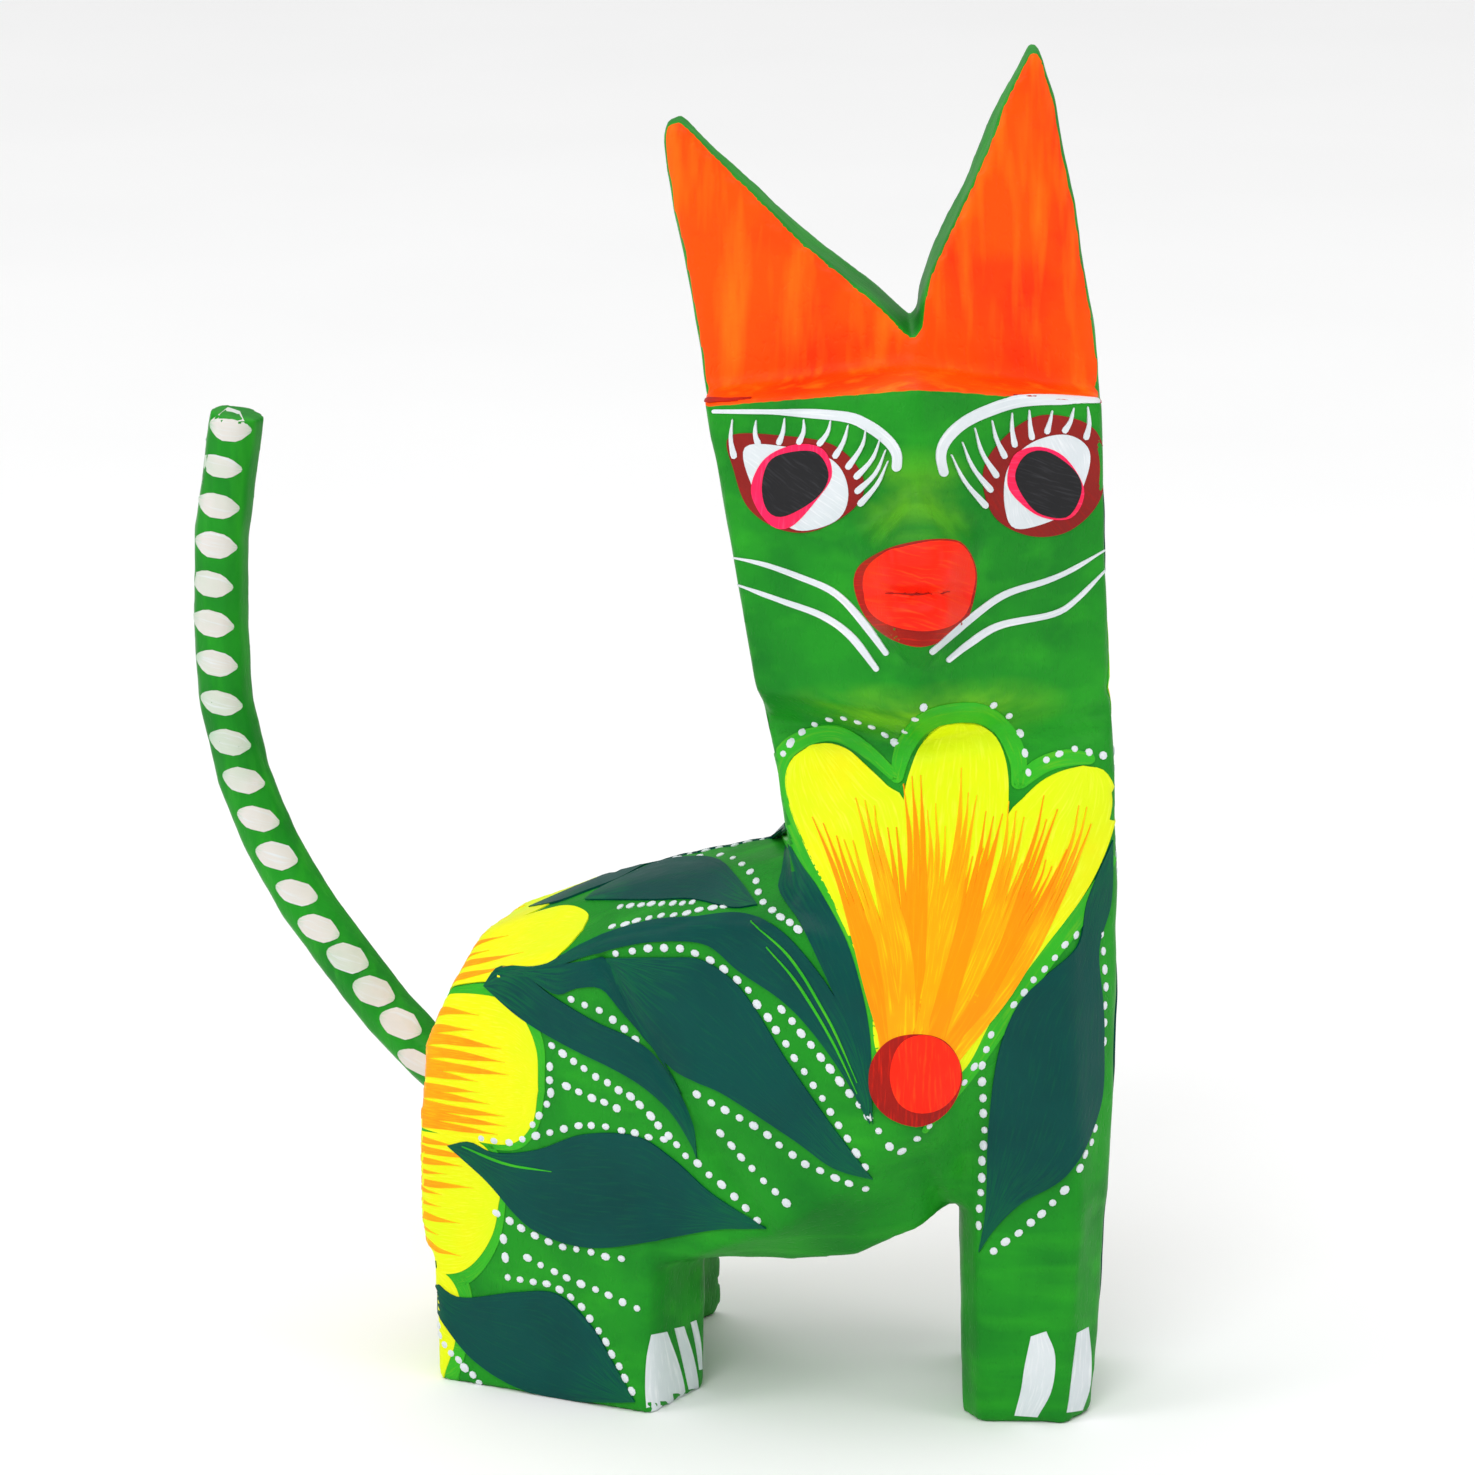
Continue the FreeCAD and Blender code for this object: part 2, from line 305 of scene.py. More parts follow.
def body_paint():
    """The green ground of the body, limey on the nose and chin, with orange on the ears' fronts."""
    material, tree, shader, place, skin = start_material("green_ground_paint", PAINT_ROUGHNESS, PAINT_GLOSS)
    mottle = skin.outputs["Mottle"]
    sweep = speckle(tree, place, 260, (0.12, 1, 1), 3)
    colour = blend_colours(tree, spread(tree, mottle, 0.40, 0.72), GRASS_GREEN, DEEP_GREEN)
    lighter = sum_up(tree, "MULTIPLY", spread(tree, sweep, 0.50, 0.75), 0.35)
    colour = blend_colours(tree, lighter, colour, BRIGHT_GREEN)
    for spot, reach, strength in LIME_SPOTS:
        away = add(tree, "ShaderNodeVectorMath", {0: place, 1: spot}, operation="SUBTRACT").outputs[0]
        away = add(tree, "ShaderNodeVectorMath", {0: away, 1: reach}, operation="DIVIDE").outputs[0]
        away = add(tree, "ShaderNodeVectorMath", {0: away}, operation="LENGTH").outputs["Value"]
        fade = spread(tree, away, 0.2, 1.0, strength, 0.0)
        glow = sum_up(tree, "MULTIPLY", fade, spread(tree, sweep, 0.3, 0.6))
        colour = blend_colours(tree, glow, colour, LIME_TINT)
    front = add(tree, "ShaderNodeAttribute", attribute_name="ear_front").outputs["Fac"]
    wobble = sum_up(tree, "MULTIPLY_ADD", speckle(tree, place, 420), 0.3, front)
    front = spread(tree, wobble, 0.60, 0.70)
    bristle = speckle(tree, place, 330, (1, 1, 0.12), 3)
    orange = blend_colours(tree, spread(tree, mottle, 0.45, 0.75), EAR_ORANGE, EAR_RED)
    warm = sum_up(tree, "MULTIPLY", spread(tree, bristle, 0.50, 0.72), 0.7)
    orange = blend_colours(tree, warm, orange, EAR_LIGHT)
    colour = blend_colours(tree, front, colour, orange)
    rough = spread(tree, skin.outputs["Height"], 0.3, 1.2, 0.34, 0.52)
    finish_material(tree, shader, colour, skin.outputs["Height"], 0.16, rough)
    return material


def tail_paint():
    material, tree, shader, place, skin = start_material("green_tail_paint", PAINT_ROUGHNESS, PAINT_GLOSS)
    run = speckle(tree, place, 420, (1, 1, 0.12), 3)
    mottle = spread(tree, skin.outputs["Mottle"], 0.35, 0.7)
    colour = blend_colours(tree, mottle, GRASS_GREEN, DEEP_GREEN)
    lighter = sum_up(tree, "MULTIPLY", spread(tree, run, 0.50, 0.75), 0.4)
    colour = blend_colours(tree, lighter, colour, BRIGHT_GREEN)
    height = sum_up(tree, "MULTIPLY_ADD", run, 0.8, skin.outputs["Height"])
    finish_material(tree, shader, colour, height, 0.08)
    return material


def bare_wood():
    """The unpainted peg: long grain along its length."""
    material, tree, shader, place, skin = start_material("bare_peg_wood", 0.6, 0.0)
    grain = speckle(tree, place, 1400, (1, 1, 0.1), 4)
    colour = blend_colours(tree, spread(tree, grain, 0.35, 0.7), BARE_WOOD, BARE_WOOD_DEEP)
    height = sum_up(tree, "MULTIPLY_ADD", grain, 1.0, skin.outputs["Height"])
    finish_material(tree, shader, colour, height, 0.05)
    return material


def floor_paint():
    material, tree, shader, place, skin = start_material("pale_floor", 0.85, 0.0)
    faint = spread(tree, speckle(tree, place, 9, (1, 1, 1), 2), 0.3, 0.7, 0.0, 0.3)
    colour = blend_colours(tree, faint, shade(250, 250, 250), shade(244, 244, 244))
    finish_material(tree, shader, colour, skin.outputs["Height"], 0.02)
    return material


LIME_SPOTS = [
    ((34.7 * MM, -26 * MM, 124 * MM), (9 * MM, 12 * MM, 8 * MM), 0.55),
    ((38 * MM, -27 * MM, 96 * MM), (26 * MM, 12 * MM, 5.5 * MM), 0.75),
]


# ---- the whittled wood ----


def knife_marks(bm, depth, width):
    """Shallow hollows where the knife left the wood uneven; the soles stay flat on the ground."""
    for vert in bm.verts:
        spot = vert.co / width
        push = noise.noise(spot) + 0.5 * noise.noise(spot * 2.3)
        foot = min(1.0, max(0.0, vert.co.z / SOLE_HEIGHT))
        vert.co += vert.normal * push * depth * foot
        vert.co.z = max(vert.co.z, 0.0)


def cut_groove(bm, spine, depth, half_width):
    """A knife cut pressed into the front along a spine on the front drawing board."""
    spots = [Vector(spot) * MM for spot in spine]
    tilt_up, tilt_in = math.sin(EYE_TILT), math.cos(EYE_TILT)
    for vert in bm.verts:
        if vert.normal.y > -0.1:
            continue
        drawn = Vector((vert.co.x, vert.co.y * tilt_up + vert.co.z * tilt_in))
        away = []
        for first, second in zip(spots, spots[1:]):
            run = second - first
            share = min(max((drawn - first).dot(run) / run.length_squared, 0.0), 1.0)
            away.append((drawn - first - run * share).length)
        reach = min(away) / (half_width * MM)
        if reach < 1:
            vert.co.y += depth * MM * (1 - reach) ** 2 * (1 + 2 * reach)


def whittle(node, name, skin, depth, width, grooves=()):
    """Copies a CAD node, evens its skin, rounds its edges as knife and sandpaper leave them."""
    bm = bmesh.new()
    bm.from_mesh(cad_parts[node].data)
    bmesh.ops.remove_doubles(bm, verts=bm.verts, dist=0.01 * MM)
    mesh = bpy.data.meshes.new(name)
    bm.to_mesh(mesh)
    bm.free()
    piece = bpy.data.objects.new(name, mesh)
    bpy.context.scene.collection.objects.link(piece)
    even = piece.modifiers.new("even_skin", "REMESH")
    even.mode = "VOXEL"
    even.voxel_size = skin
    seen = piece.evaluated_get(bpy.context.evaluated_depsgraph_get())
    mesh = bpy.data.meshes.new_from_object(seen)
    piece.modifiers.clear()
    piece.data = mesh
    bm = bmesh.new()
    bm.from_mesh(mesh)
    every_way = {"use_axis_x": True, "use_axis_y": True, "use_axis_z": True}
    for _ in range(SANDINGS):
        bmesh.ops.smooth_vert(bm, verts=bm.verts, factor=0.5, **every_way)
    bm.normal_update()
    for spine, groove_depth, half_width in grooves:
        cut_groove(bm, spine, groove_depth, half_width)
    knife_marks(bm, depth, width)
    bm.normal_update()
    tree = BVHTree.FromBMesh(bm)
    for face in bm.faces:
        face.smooth = True
    bm.to_mesh(mesh)
    bm.free()
    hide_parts(node)
    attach(piece, node)
    return piece, tree


GROOVES = [
    ([(29.4, 102.2), (34.5, 102), (40.6, 102.4)], 1.3, 1.7),
    ([(31, 104.8), (35, 104.8), (38.4, 105)], -0.7, 2.4),
    ([(15, 86.2), (24, 84.6), (34.7, 83.4), (46, 84.8), (59, 87)], 1.1, 2.6),
    ([(31.6, 99.4), (35, 99), (38, 99.6)], -0.7, 2.2),
    ([(-5, 55.4), (-1.4, 48.4), (3, 42), (9, 31), (16, 20.6)], 0.8, 1.8),
]
body, body_tree = whittle(
    "carved_body", "whittled_body", BODY_SKIN, KNIFE_DEPTH, KNIFE_WIDTH, GROOVES
)
tail, tail_tree = whittle(
    "tail", "whittled_tail", TAIL_SKIN, TAIL_KNIFE_SHARE * KNIFE_DEPTH, TAIL_KNIFE_SHARE * KNIFE_WIDTH
)


def mark_ear_fronts(mesh):
    """Marks the fronts of the ears and the ledge below them with 1, and the rest of the wood with 0."""
    marks = mesh.attributes.new("ear_front", "FLOAT", "POINT")
    for vert, normal, mark in zip(mesh.vertices, mesh.vertex_normals, marks.data):
        aside = abs(vert.co.x - EAR_RIDGE_X)
        over_ledge = (vert.co.z - LEDGE_TOP + LEDGE_FALL * aside) / LEDGE_EDGE
        ear_plane = EAR_RIDGE_Y + EAR_TURN * aside + EAR_LEAN * (vert.co.z - LEDGE_TOP)
        before_ear = (ear_plane - vert.co.y) / LEDGE_EDGE
        faces_front = (-normal.vector.y - 0.35) / 0.4
        mark.value = min(max(min(over_ledge, max(before_ear, faces_front)), 0.0), 1.0)


mark_ear_fronts(body.data)
body.data.materials.append(body_paint())
tail.data.materials.append(tail_paint())
peg_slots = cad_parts["tail_peg"].data.materials
if len(peg_slots) == 0:
    peg_slots.append(bare_wood())
else:
    peg_slots[0] = bare_wood()


# ---- drawing boards: flat drawings carried into the wood ----


def drawing_board(tree, right, up, into):
    """A flat board held up to the wood. A point on it is carried straight into the wood."""
    right, up, into = Vector(right), Vector(up), Vector(into)

    def carry(spot):
        start = (right * spot.x + up * spot.y - into * STAND_OFF) * MM
        hit, normal, _, _ = tree.ray_cast(start, into)
        if hit is not None:
            return hit, normal
        beside = [start + into * (STAND_OFF + step) * MM for step in range(-60, 61, 3)]
        near = min((tree.find_nearest(place) for place in beside), key=lambda found: found[3])
        return near[0], near[1]

    return carry


def rose_board(tree, heart, outward):
    """Bearing and reach around the tail root, in degrees, carried outward from a point in the rump."""
    heart, outward = Vector(heart) * MM, Vector(outward)
    up = Vector((0, 0, 1))
    right = up.cross(outward)

    def carry(spot):
        bearing, reach = math.radians(spot.x), math.radians(spot.y)
        aside = up * math.cos(bearing) + right * math.sin(bearing)
        way = outward * math.cos(reach) + aside * math.sin(reach)
        hit, normal, _, _ = tree.ray_cast(heart, way)
        return hit, normal

    return carry


TILT_UP, TILT_IN = math.sin(EYE_TILT), math.cos(EYE_TILT)
FRONT = drawing_board(body_tree, (1, 0, 0), (0, TILT_UP, TILT_IN), (0, TILT_IN, -TILT_UP))
BACK = drawing_board(body_tree, (1, 0, 0), (0, -TILT_UP, TILT_IN), (0, -TILT_IN, -TILT_UP))
SIDE = drawing_board(body_tree, (0, 1, 0), (0, 0, 1), (-1, 0, 0))


def squeezed(carry, fixed_x, share):
    """A board whose drawing is drawn in sideways towards fixed_x, for the narrower left side."""
    return lambda spot: carry(Vector((fixed_x + (spot.x - fixed_x) * share, spot.y)))


NAPE = squeezed(BACK, 40, 0.9)
LEFT_FLANK = squeezed(BACK, 30, 0.78)
TAIL_NEAR = drawing_board(tail_tree, (1, 0, 0), (0, 0, 1), (0, 1, 0))
TAIL_FAR = drawing_board(tail_tree, (1, 0, 0), (0, 0, 1), (0, -1, 0))
RUMP = rose_board(body_tree, (-8, 4, 34), (-0.891, 0.454, 0))


class Line:
    """A smooth line through its points, read by its share of the length from 0 to 1."""

    STEPS = 12

    def __init__(self, points, closed=False):
        self.points = [Vector(point) for point in points]
        self.closed = closed
        spans = len(points) if closed else len(points) - 1
        places = [(span, step / self.STEPS) for span in range(spans) for step in range(self.STEPS)]
        self.fine = [self.between(span, share) for span, share in places]
        self.fine.append(self.control(spans))
        self.run = [0.0]
        for first, second in zip(self.fine, self.fine[1:]):
            self.run.append(self.run[-1] + (second - first).length)
        self.length = self.run[-1]

    def control(self, index):
        count = len(self.points)
        if self.closed:
            return self.points[index % count]
        if index < 0:
            return self.points[0] * 2 - self.points[1]
        if index >= count:
            return self.points[-1] * 2 - self.points[-2]
        return self.points[index]

    def between(self, span, share):
        before, start, end, after = (self.control(span + step) for step in (-1, 0, 1, 2))
        curve = start * 2 + (end - before) * share
        curve += (before * 2 - start * 5 + end * 4 - after) * share**2
        curve += (start * 3 - before - end * 3 + after) * share**3
        return curve * 0.5

    def at(self, share):
        goal = min(max(share, 0.0), 1.0) * self.length
        index = min(max(bisect_left(self.run, goal), 1), len(self.fine) - 1)
        stretch = max(self.run[index] - self.run[index - 1], 1e-9)
        return self.fine[index - 1].lerp(self.fine[index], (goal - self.run[index - 1]) / stretch)

    def across(self, share):
        """The direction square to the line."""
        run = self.at(share + 0.01) - self.at(share - 0.01)
        return Vector((-run.y, run.x)).normalized()


def width_at(widths, share):
    """A width that goes smoothly through the given ones, which are evenly spaced."""
    place = share * (len(widths) - 1)
    index = min(int(place), len(widths) - 2)
    part = place - index
    part = part * part * (3 - 2 * part)
    return widths[index] * (1 - part) + widths[index + 1] * part


class Paint:
    """One colour of paint: its films and drops are joined into one piece."""

    def __init__(self, name, material, slot, rides="carved_body"):
        self.name = name
        self.material = material
        self.slot = slot
        self.rides = rides
        self.parts = []

    def start(self):
        """A new sheet of paint, with its stroke map and the marks that its vertices carry."""
        bm = bmesh.new()
        bm.loops.layers.uv.new("stroke")
        bm.verts.layers.float.new("toward_end")
        bm.verts.layers.float_vector.new("outward")
        return bm

    def keep(self, bm):
        part = bpy.data.meshes.new(self.name)
        bm.to_mesh(part)
        bm.free()
        self.parts.append(part)

    def lay(self, bm, carry, place, level, size):
        """Carries a flat sheet into the wood, lifts it by its level and gives it a thickness."""
        lift = (FIRST_LIFT + LEVEL_LIFT * level) * MM
        root = ROOT_IN_WOOD * MM
        stroke_map = bm.loops.layers.uv["stroke"]
        toward_end = bm.verts.layers.float["toward_end"]
        outward = bm.verts.layers.float_vector["outward"]
        shift = Vector((dice.random() * 9, dice.random() * 9))
        for face in bm.faces:
            for loop in face.loops:
                share = loop.vert.co
                drawn = Vector((share.x * size[0], share.y * size[1]))
                loop[stroke_map].uv = shift + drawn * STROKE_MAP_SCALE
        for vert in bm.verts:
            share = Vector((vert.co.x, vert.co.y))
            vert[toward_end] = abs(2 * share.x - 1)
            hit, normal = carry(place(share.x, share.y))
            vert.co = hit - normal * root
            vert[outward] = normal
        bmesh.ops.remove_doubles(bm, verts=bm.verts, dist=MERGE_NEAR * MM)
        grown = bmesh.ops.extrude_face_region(bm, geom=bm.faces, use_keep_orig=True)["geom"]
        for vert in grown:
            if isinstance(vert, bmesh.types.BMVert):
                vert.co += vert[outward] * (lift + root)
        for vert in bm.verts:
            vert.co.z = max(vert.co.z, 0.0)
        bmesh.ops.recalc_face_normals(bm, faces=bm.faces)
        self.keep(bm)

    def grid(self, along, across):
        """A flat sheet from 0 to 1 each way."""
        bm = self.start()
        bmesh.ops.create_grid(bm, x_segments=along, y_segments=across, size=0.5)
        bmesh.ops.translate(bm, verts=bm.verts, vec=(0.5, 0.5, 0))
        return bm

    def band(self, carry, first_edge, second_edge, level=0):
        """Paint between two edges, such as a leaf or petal whose edges meet at both ends."""
        first, second = Line(first_edge), Line(second_edge)
        width = max((first.at(share) - second.at(share)).length for share in (0.2, 0.35, 0.5, 0.65, 0.8))
        length = max(first.length, second.length)
        bm = self.grid(max(8, round(length / FILM_STEP)), max(3, round(width / FILM_STEP)))
        self.lay(bm, carry, lambda u, w: first.at(u).lerp(second.at(u), w), level, (length, width))

    def leaf(self, carry, foot, tip, width, bend=0.0, level=2.6):
        """A leaf or petal between two points, widest beyond its middle, bent to one side."""
        foot, tip = Vector(foot), Vector(tip)
        run = tip - foot
        aside = Vector((-run.y, run.x)).normalized()
        swell = [(0.0, 0.0), (0.2, 0.55), (0.45, 0.95), (0.7, 0.95), (0.9, 0.55), (1.0, 0.0)]
        edges = []
        for side in (-0.5, 0.5):
            out = [side * share * width + bend * math.sin(math.pi * along) for along, share in swell]
            edges.append([foot + run * along + aside * off for (along, _), off in zip(swell, out)])
        self.band(carry, edges[0], edges[1], level=level)

    def blob(self, carry, outline, level=0):
        """Paint inside a rounded outline, as a disc of rings."""
        edge = Line(outline, closed=True)
        middle = sum(edge.fine[:-1], Vector((0, 0))) / (len(edge.fine) - 1)
        reach = max((spot - middle).length for spot in edge.fine)
        rings = max(3, round(reach / FILM_STEP))
        steps = max(16, round(edge.length / (0.7 * FILM_STEP)))
        bm = self.start()
        spoke = [bm.verts.new((ring / rings, 0, 0)) for ring in range(rings + 1)]
        rims = [bm.edges.new(pair) for pair in zip(spoke, spoke[1:])]
        full_turn = {"axis": (0, 0, 1), "angle": math.tau, "steps": steps, "use_merge": True}
        bmesh.ops.spin(bm, geom=spoke + rims, **full_turn)

        def place(x, y):
            way_round = math.atan2(y, x) / math.tau % 1.0
            return middle.lerp(edge.at(way_round), math.hypot(x, y))

        self.lay(bm, carry, place, level, (reach, reach))

    def stroke(self, carry, spine, widths, level=1, step=STROKE_STEP):
        """One pull of the brush along a spine; its widths are evenly spaced along it."""
        line = Line(spine)
        widest = max(widths)

        def place(u, w):
            share = 0.5 - 0.5 * math.cos(math.pi * u)
            wide = width_at(widths, share)
            room = min(share, 1 - share) * line.length / (0.5 * wide + 1e-6)
            wide *= math.sqrt(1 - (1 - min(1.0, room)) ** 2)
            return line.at(share) + line.across(share) * (w - 0.5) * max(wide, 0.01)

        bm = self.grid(max(8, round(line.length / step)), max(2, round(widest / step)))
        self.lay(bm, carry, place, level, (line.length, widest))

    def drop(self, carry, spot, heading, long_side, short_side):
        """One drop from the handle end of the brush: a low dome, a little longer than wide."""
        hit, normal = carry(spot)
        ahead, _ = carry(spot + heading)
        run = ahead - hit
        run = (run - normal * run.dot(normal)).normalized()
        side = normal.cross(run)
        turn = Matrix((run, side, normal)).transposed().to_4x4()
        size = Matrix.Diagonal((long_side * MM, short_side * MM, DROP_HEIGHT * MM, 1))
        part = round_drop.copy()
        part.transform(Matrix.Translation(hit + normal * DROP_SINK * MM) @ turn @ size)
        for vert in part.vertices:
            vert.co.z = max(vert.co.z, 0.0)
        self.parts.append(part)

    def row(self, carry, spine, count):
        """Drops along a line, with the unevenness of a hand."""
        line = Line(spine)
        for index in range(count):
            share = index / (count - 1)
            wander = Vector((dice.uniform(-1, 1), dice.uniform(-1, 1))) * DROP_WANDER
            radius = DROP_RADIUS * dice.uniform(*DROP_UNEVEN)
            stretch = dice.uniform(*DROP_STRETCH)
            heading = line.at(share + 0.02) - line.at(share - 0.02)
            spot = line.at(share) + wander
            self.drop(carry, spot, heading.normalized() * 0.5, radius * stretch, radius)

    def finish(self):
        bm = bmesh.new()
        for part in self.parts:
            bm.from_mesh(part)
            bpy.data.meshes.remove(part)
        for face in bm.faces:
            face.smooth = True
        mesh = bpy.data.meshes.new(self.name)
        bm.to_mesh(mesh)
        bm.free()
        mesh.set_sharp_from_angle(angle=FILM_EDGE)
        mesh.materials.append(self.material)
        piece = bpy.data.objects.new(self.name, mesh)
        bpy.context.scene.collection.objects.link(piece)
        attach(piece, self.rides)


def build_round_drop():
    bm = bmesh.new()
    bm.loops.layers.uv.new("stroke")
    bm.verts.layers.float.new("toward_end")
    bm.verts.layers.float_vector.new("outward")
    bmesh.ops.create_uvsphere(bm, u_segments=8, v_segments=5, radius=1)
    mesh = bpy.data.meshes.new("round_drop")
    bm.to_mesh(mesh)
    bm.free()
    return mesh


round_drop = build_round_drop()

# ---- the paints ----

BRIGHT_WHITE = shade(250, 250, 252)
ORANGE = "orange_paint"
RED = "red_paint"
WHITE_SLOT = "white_paint"

halo = Paint(
    "bright_green_edges",
    stroke_paint("bright_green_paint", BRIGHT_GREEN, LIME_TINT, GRASS_GREEN),
    "green_painted_wood",
)
leaves = Paint(
    "teal_leaves",
    stroke_paint("leaf_teal_paint", TEAL, TEAL_LIGHT, TEAL_DEEP, streaks=0.25, tips=TEAL_LIGHT),
    "dark_green_paint",
)
petals = Paint(
    "yellow_petals",
    stroke_paint("petal_lemon_paint", LEMON, LEMON_LIGHT, LEMON_DEEP, streaks=0.6),
    "yellow_paint",
)
flames = Paint(
    "orange_petal_streaks",
    stroke_paint("streak_amber_paint", AMBER, LEMON_DEEP, AMBER_DEEP, streaks=0.7, tips=LEMON_DEEP),
    ORANGE,
)
embers = Paint(
    "deep_orange_petal_streaks",
    stroke_paint("ember_orange_paint", EMBER, AMBER, EMBER_DEEP, streaks=0.7, tips=AMBER),
    ORANGE,
)
scarlet = Paint(
    "scarlet_nose_and_berry", stroke_paint("scarlet_paint", SCARLET, SCARLET_LIGHT, SCARLET_EDGE), RED
)
shadow_red = Paint(
    "deep_red_rims_and_mouth_shade", stroke_paint("deep_red_paint", SCARLET_DEEP, SCARLET, BRICK_DEEP), RED
)
brick = Paint(
    "maroon_eye_grounds", stroke_paint("maroon_paint", BRICK, SCARLET_DEEP, BRICK_DEEP), "maroon_paint"
)
pink = Paint(
    "pink_iris_rings", stroke_paint("pink_ring_paint", PINK, PINK_LIGHT, SCARLET), "pink_paint"
)
coal = Paint(
    "black_pupils",
    stroke_paint("pupil_black_paint", COAL, COAL_LIGHT, COAL_DEEP, gloss=PUPIL_GLOSS),
    "black_paint",
)
chalk = Paint(
    "white_strokes", stroke_paint("chalk_white_paint", CHALK, BRIGHT_WHITE, CHALK_DEEP), WHITE_SLOT
)
drops = Paint(
    "white_drops", stroke_paint("drop_white_paint", CHALK, BRIGHT_WHITE, CHALK_DEEP), WHITE_SLOT
)
tail_marks = Paint(
    "tail_dabs",
    stroke_paint("washed_white_paint", WASHED_WHITE, CHALK, WASHED_GREEN, streaks=0.9, tips=WASHED_TIP),
    WHITE_SLOT,
    "tail",
)
PAINTS = (
    halo, leaves, petals, flames, embers, scarlet, shadow_red, brick, pink, coal, chalk, drops, tail_marks
)

# ---- face ----

# The outlines of each eye: its maroon ground, its white, its ring and its pupil
LEFT_EYE = [
    [
        (11.2, 122.4), (17.6, 122.4), (24.4, 121), (28, 117), (27.2, 113.4), (22.2, 110.4),
        (17.6, 110.6), (13.6, 113.4), (11.8, 118),
    ],
    [
        (13.2, 121), (18.2, 121), (24.2, 119.2), (26.2, 115.4), (25, 111.8), (20.2, 110.4),
        (16.6, 112.6), (14, 116.4),
    ],
    [
        (19.4, 121.2), (23, 120.6), (24.2, 117.4), (22.4, 114.4), (19, 110.9), (16.2, 111.4),
        (14, 115.4), (15.6, 119.4),
    ],
    [
        (16.2, 119), (18.4, 120.2), (22.2, 120.2), (23.8, 117.4), (22.4, 114.6), (18.4, 112.3),
        (16.2, 112.9), (15.4, 115.8),
    ],
]
RIGHT_EYE = [
    [
        (46.4, 122.6), (51, 125), (57, 123.8), (59, 119.6), (58.2, 114.2), (54.2, 110.4),
        (49, 109.8), (44.4, 112.4), (43.2, 118),
    ],
    [
        (49.2, 121.4), (53.8, 122.6), (56.8, 120.8), (56.4, 117), (54, 112.8), (47.8, 110.6),
        (46, 113), (46.2, 118),
    ],
    [
        (46.2, 116.8), (47.2, 120), (50.4, 121), (53.8, 119.6), (56.2, 115.6), (54.6, 112.2),
        (50.6, 112.2), (47.2, 114.6),
    ],
    [
        (47.2, 117.4), (48.6, 120), (51.4, 120.4), (55, 118), (55.8, 115.4), (54, 112.3),
        (50.4, 112.6), (48.2, 114.8),
    ],
]
BROWS = [
    (
        [
            (9, 125.6), (18, 125.3), (25.6, 124.6), (28.6, 123.4), (31, 121.6), (32.2, 119.8),
            (32.2, 117.6),
        ],
        [0.5, 0.6, 1.2, 1.4, 1.2],
    ),
    (
        [
            (58.3, 127), (54.8, 127), (47.8, 126.6), (43.4, 125.2), (40.4, 123.6), (38.4, 121.6),
            (37.7, 119.6), (38.2, 117),
        ],
        [0.7, 1.3, 1.5, 1.4, 1.2],
    ),
]
LEFT_LASHES = [
    ((11.6, 124.6), (11.4, 122), (11.9, 119.6)),
    ((14.6, 124.4), (14.5, 122.6), (15, 121.2)),
    ((18.2, 124.6), (18, 122.8), (17.4, 121.2)),
    ((20.6, 124.4), (20.6, 122.8), (19.9, 121.2)),
    ((24, 124.2), (23.6, 122.6), (22.4, 121)),
    ((26.2, 123.6), (25.6, 121.4), (24.4, 119.4)),
    ((28.4, 123), (27.9, 120.8), (26, 118)),
    ((30.2, 121.8), (29.2, 119.2), (27, 116.8)),
    ((30.9, 120.4), (29.6, 117.4), (27.1, 115)),
    ((31.2, 119), (29.8, 116), (27.5, 113.4)),
]
RIGHT_LASHES = [
    ((56.6, 126.2), (56.8, 124), (56.3, 122)),
    ((54.8, 126), (54.3, 124.2), (53.4, 122.8)),
    ((52, 125.6), (51.6, 124), (51.2, 122.6)),
    ((49, 125.6), (49.1, 123.6), (49.4, 121.8)),
    ((46.8, 125.2), (46.8, 123), (47.2, 120.8)),
    ((44.2, 124.2), (44.8, 121.8), (46, 119.4)),
    ((42, 123.2), (43, 120), (45, 117)),
    ((40.4, 121.4), (41.8, 118.2), (44.3, 115.2)),
    ((39, 119.8), (40.8, 116.4), (43.7, 113.2)),
]
LASH_WIDTHS = [0.15, 0.5, 0.85]
NOSE_RIM = [
    (27, 103), (27.4, 105.6), (29.6, 107.2), (33, 108.4), (37, 109), (40.4, 108.6), (42.3, 105.5),
    (42, 101.5), (40.4, 98), (36, 95.7), (32, 96.4), (28.6, 99.2),
]
NOSE = [
    (28.4, 105), (30.6, 107.2), (34, 108.2), (37.4, 108.7), (40.4, 108.2), (42, 105.2),
    (41.4, 101), (39.4, 98.6), (35.6, 97.7), (31, 98.6), (28.6, 101),
]
# A thin dark red line along the mouth's groove: painted shade in the crease
MOUTH_CREASE_SHADE = [(31, 102.3), (34.5, 102.1), (38.6, 102.5)]
LEDGE_LINES = [
    ([(47, 127.4), (53, 127.2), (58.6, 127)], [0.1, 0.5, 0.6], GROUND),
    ([(8, 127.1), (11, 127), (14, 127.2)], [0.7, 0.4, 0.1], 1.5),
]
WHISKERS = [
    [(11.3, 107.2), (15.6, 106.2), (20, 104.6), (24.4, 102.6), (27.6, 99.4), (31.2, 94.6)],
    [(11.9, 103.8), (15, 102.6), (18, 101.5), (23, 99.6), (26.6, 97), (30, 92.6)],
    [(59.2, 108.2), (54.8, 105.6), (51.4, 104.1), (46, 102.3), (41.6, 99.2), (36.4, 94.8)],
    [(59.6, 106), (55.4, 101.8), (52.3, 99.9), (45.4, 98.4), (41.4, 96), (38.6, 93.8)],
]
WHISKER_WIDTHS = [0.2, 0.6, 0.75, 0.85, 0.95, 0.7]


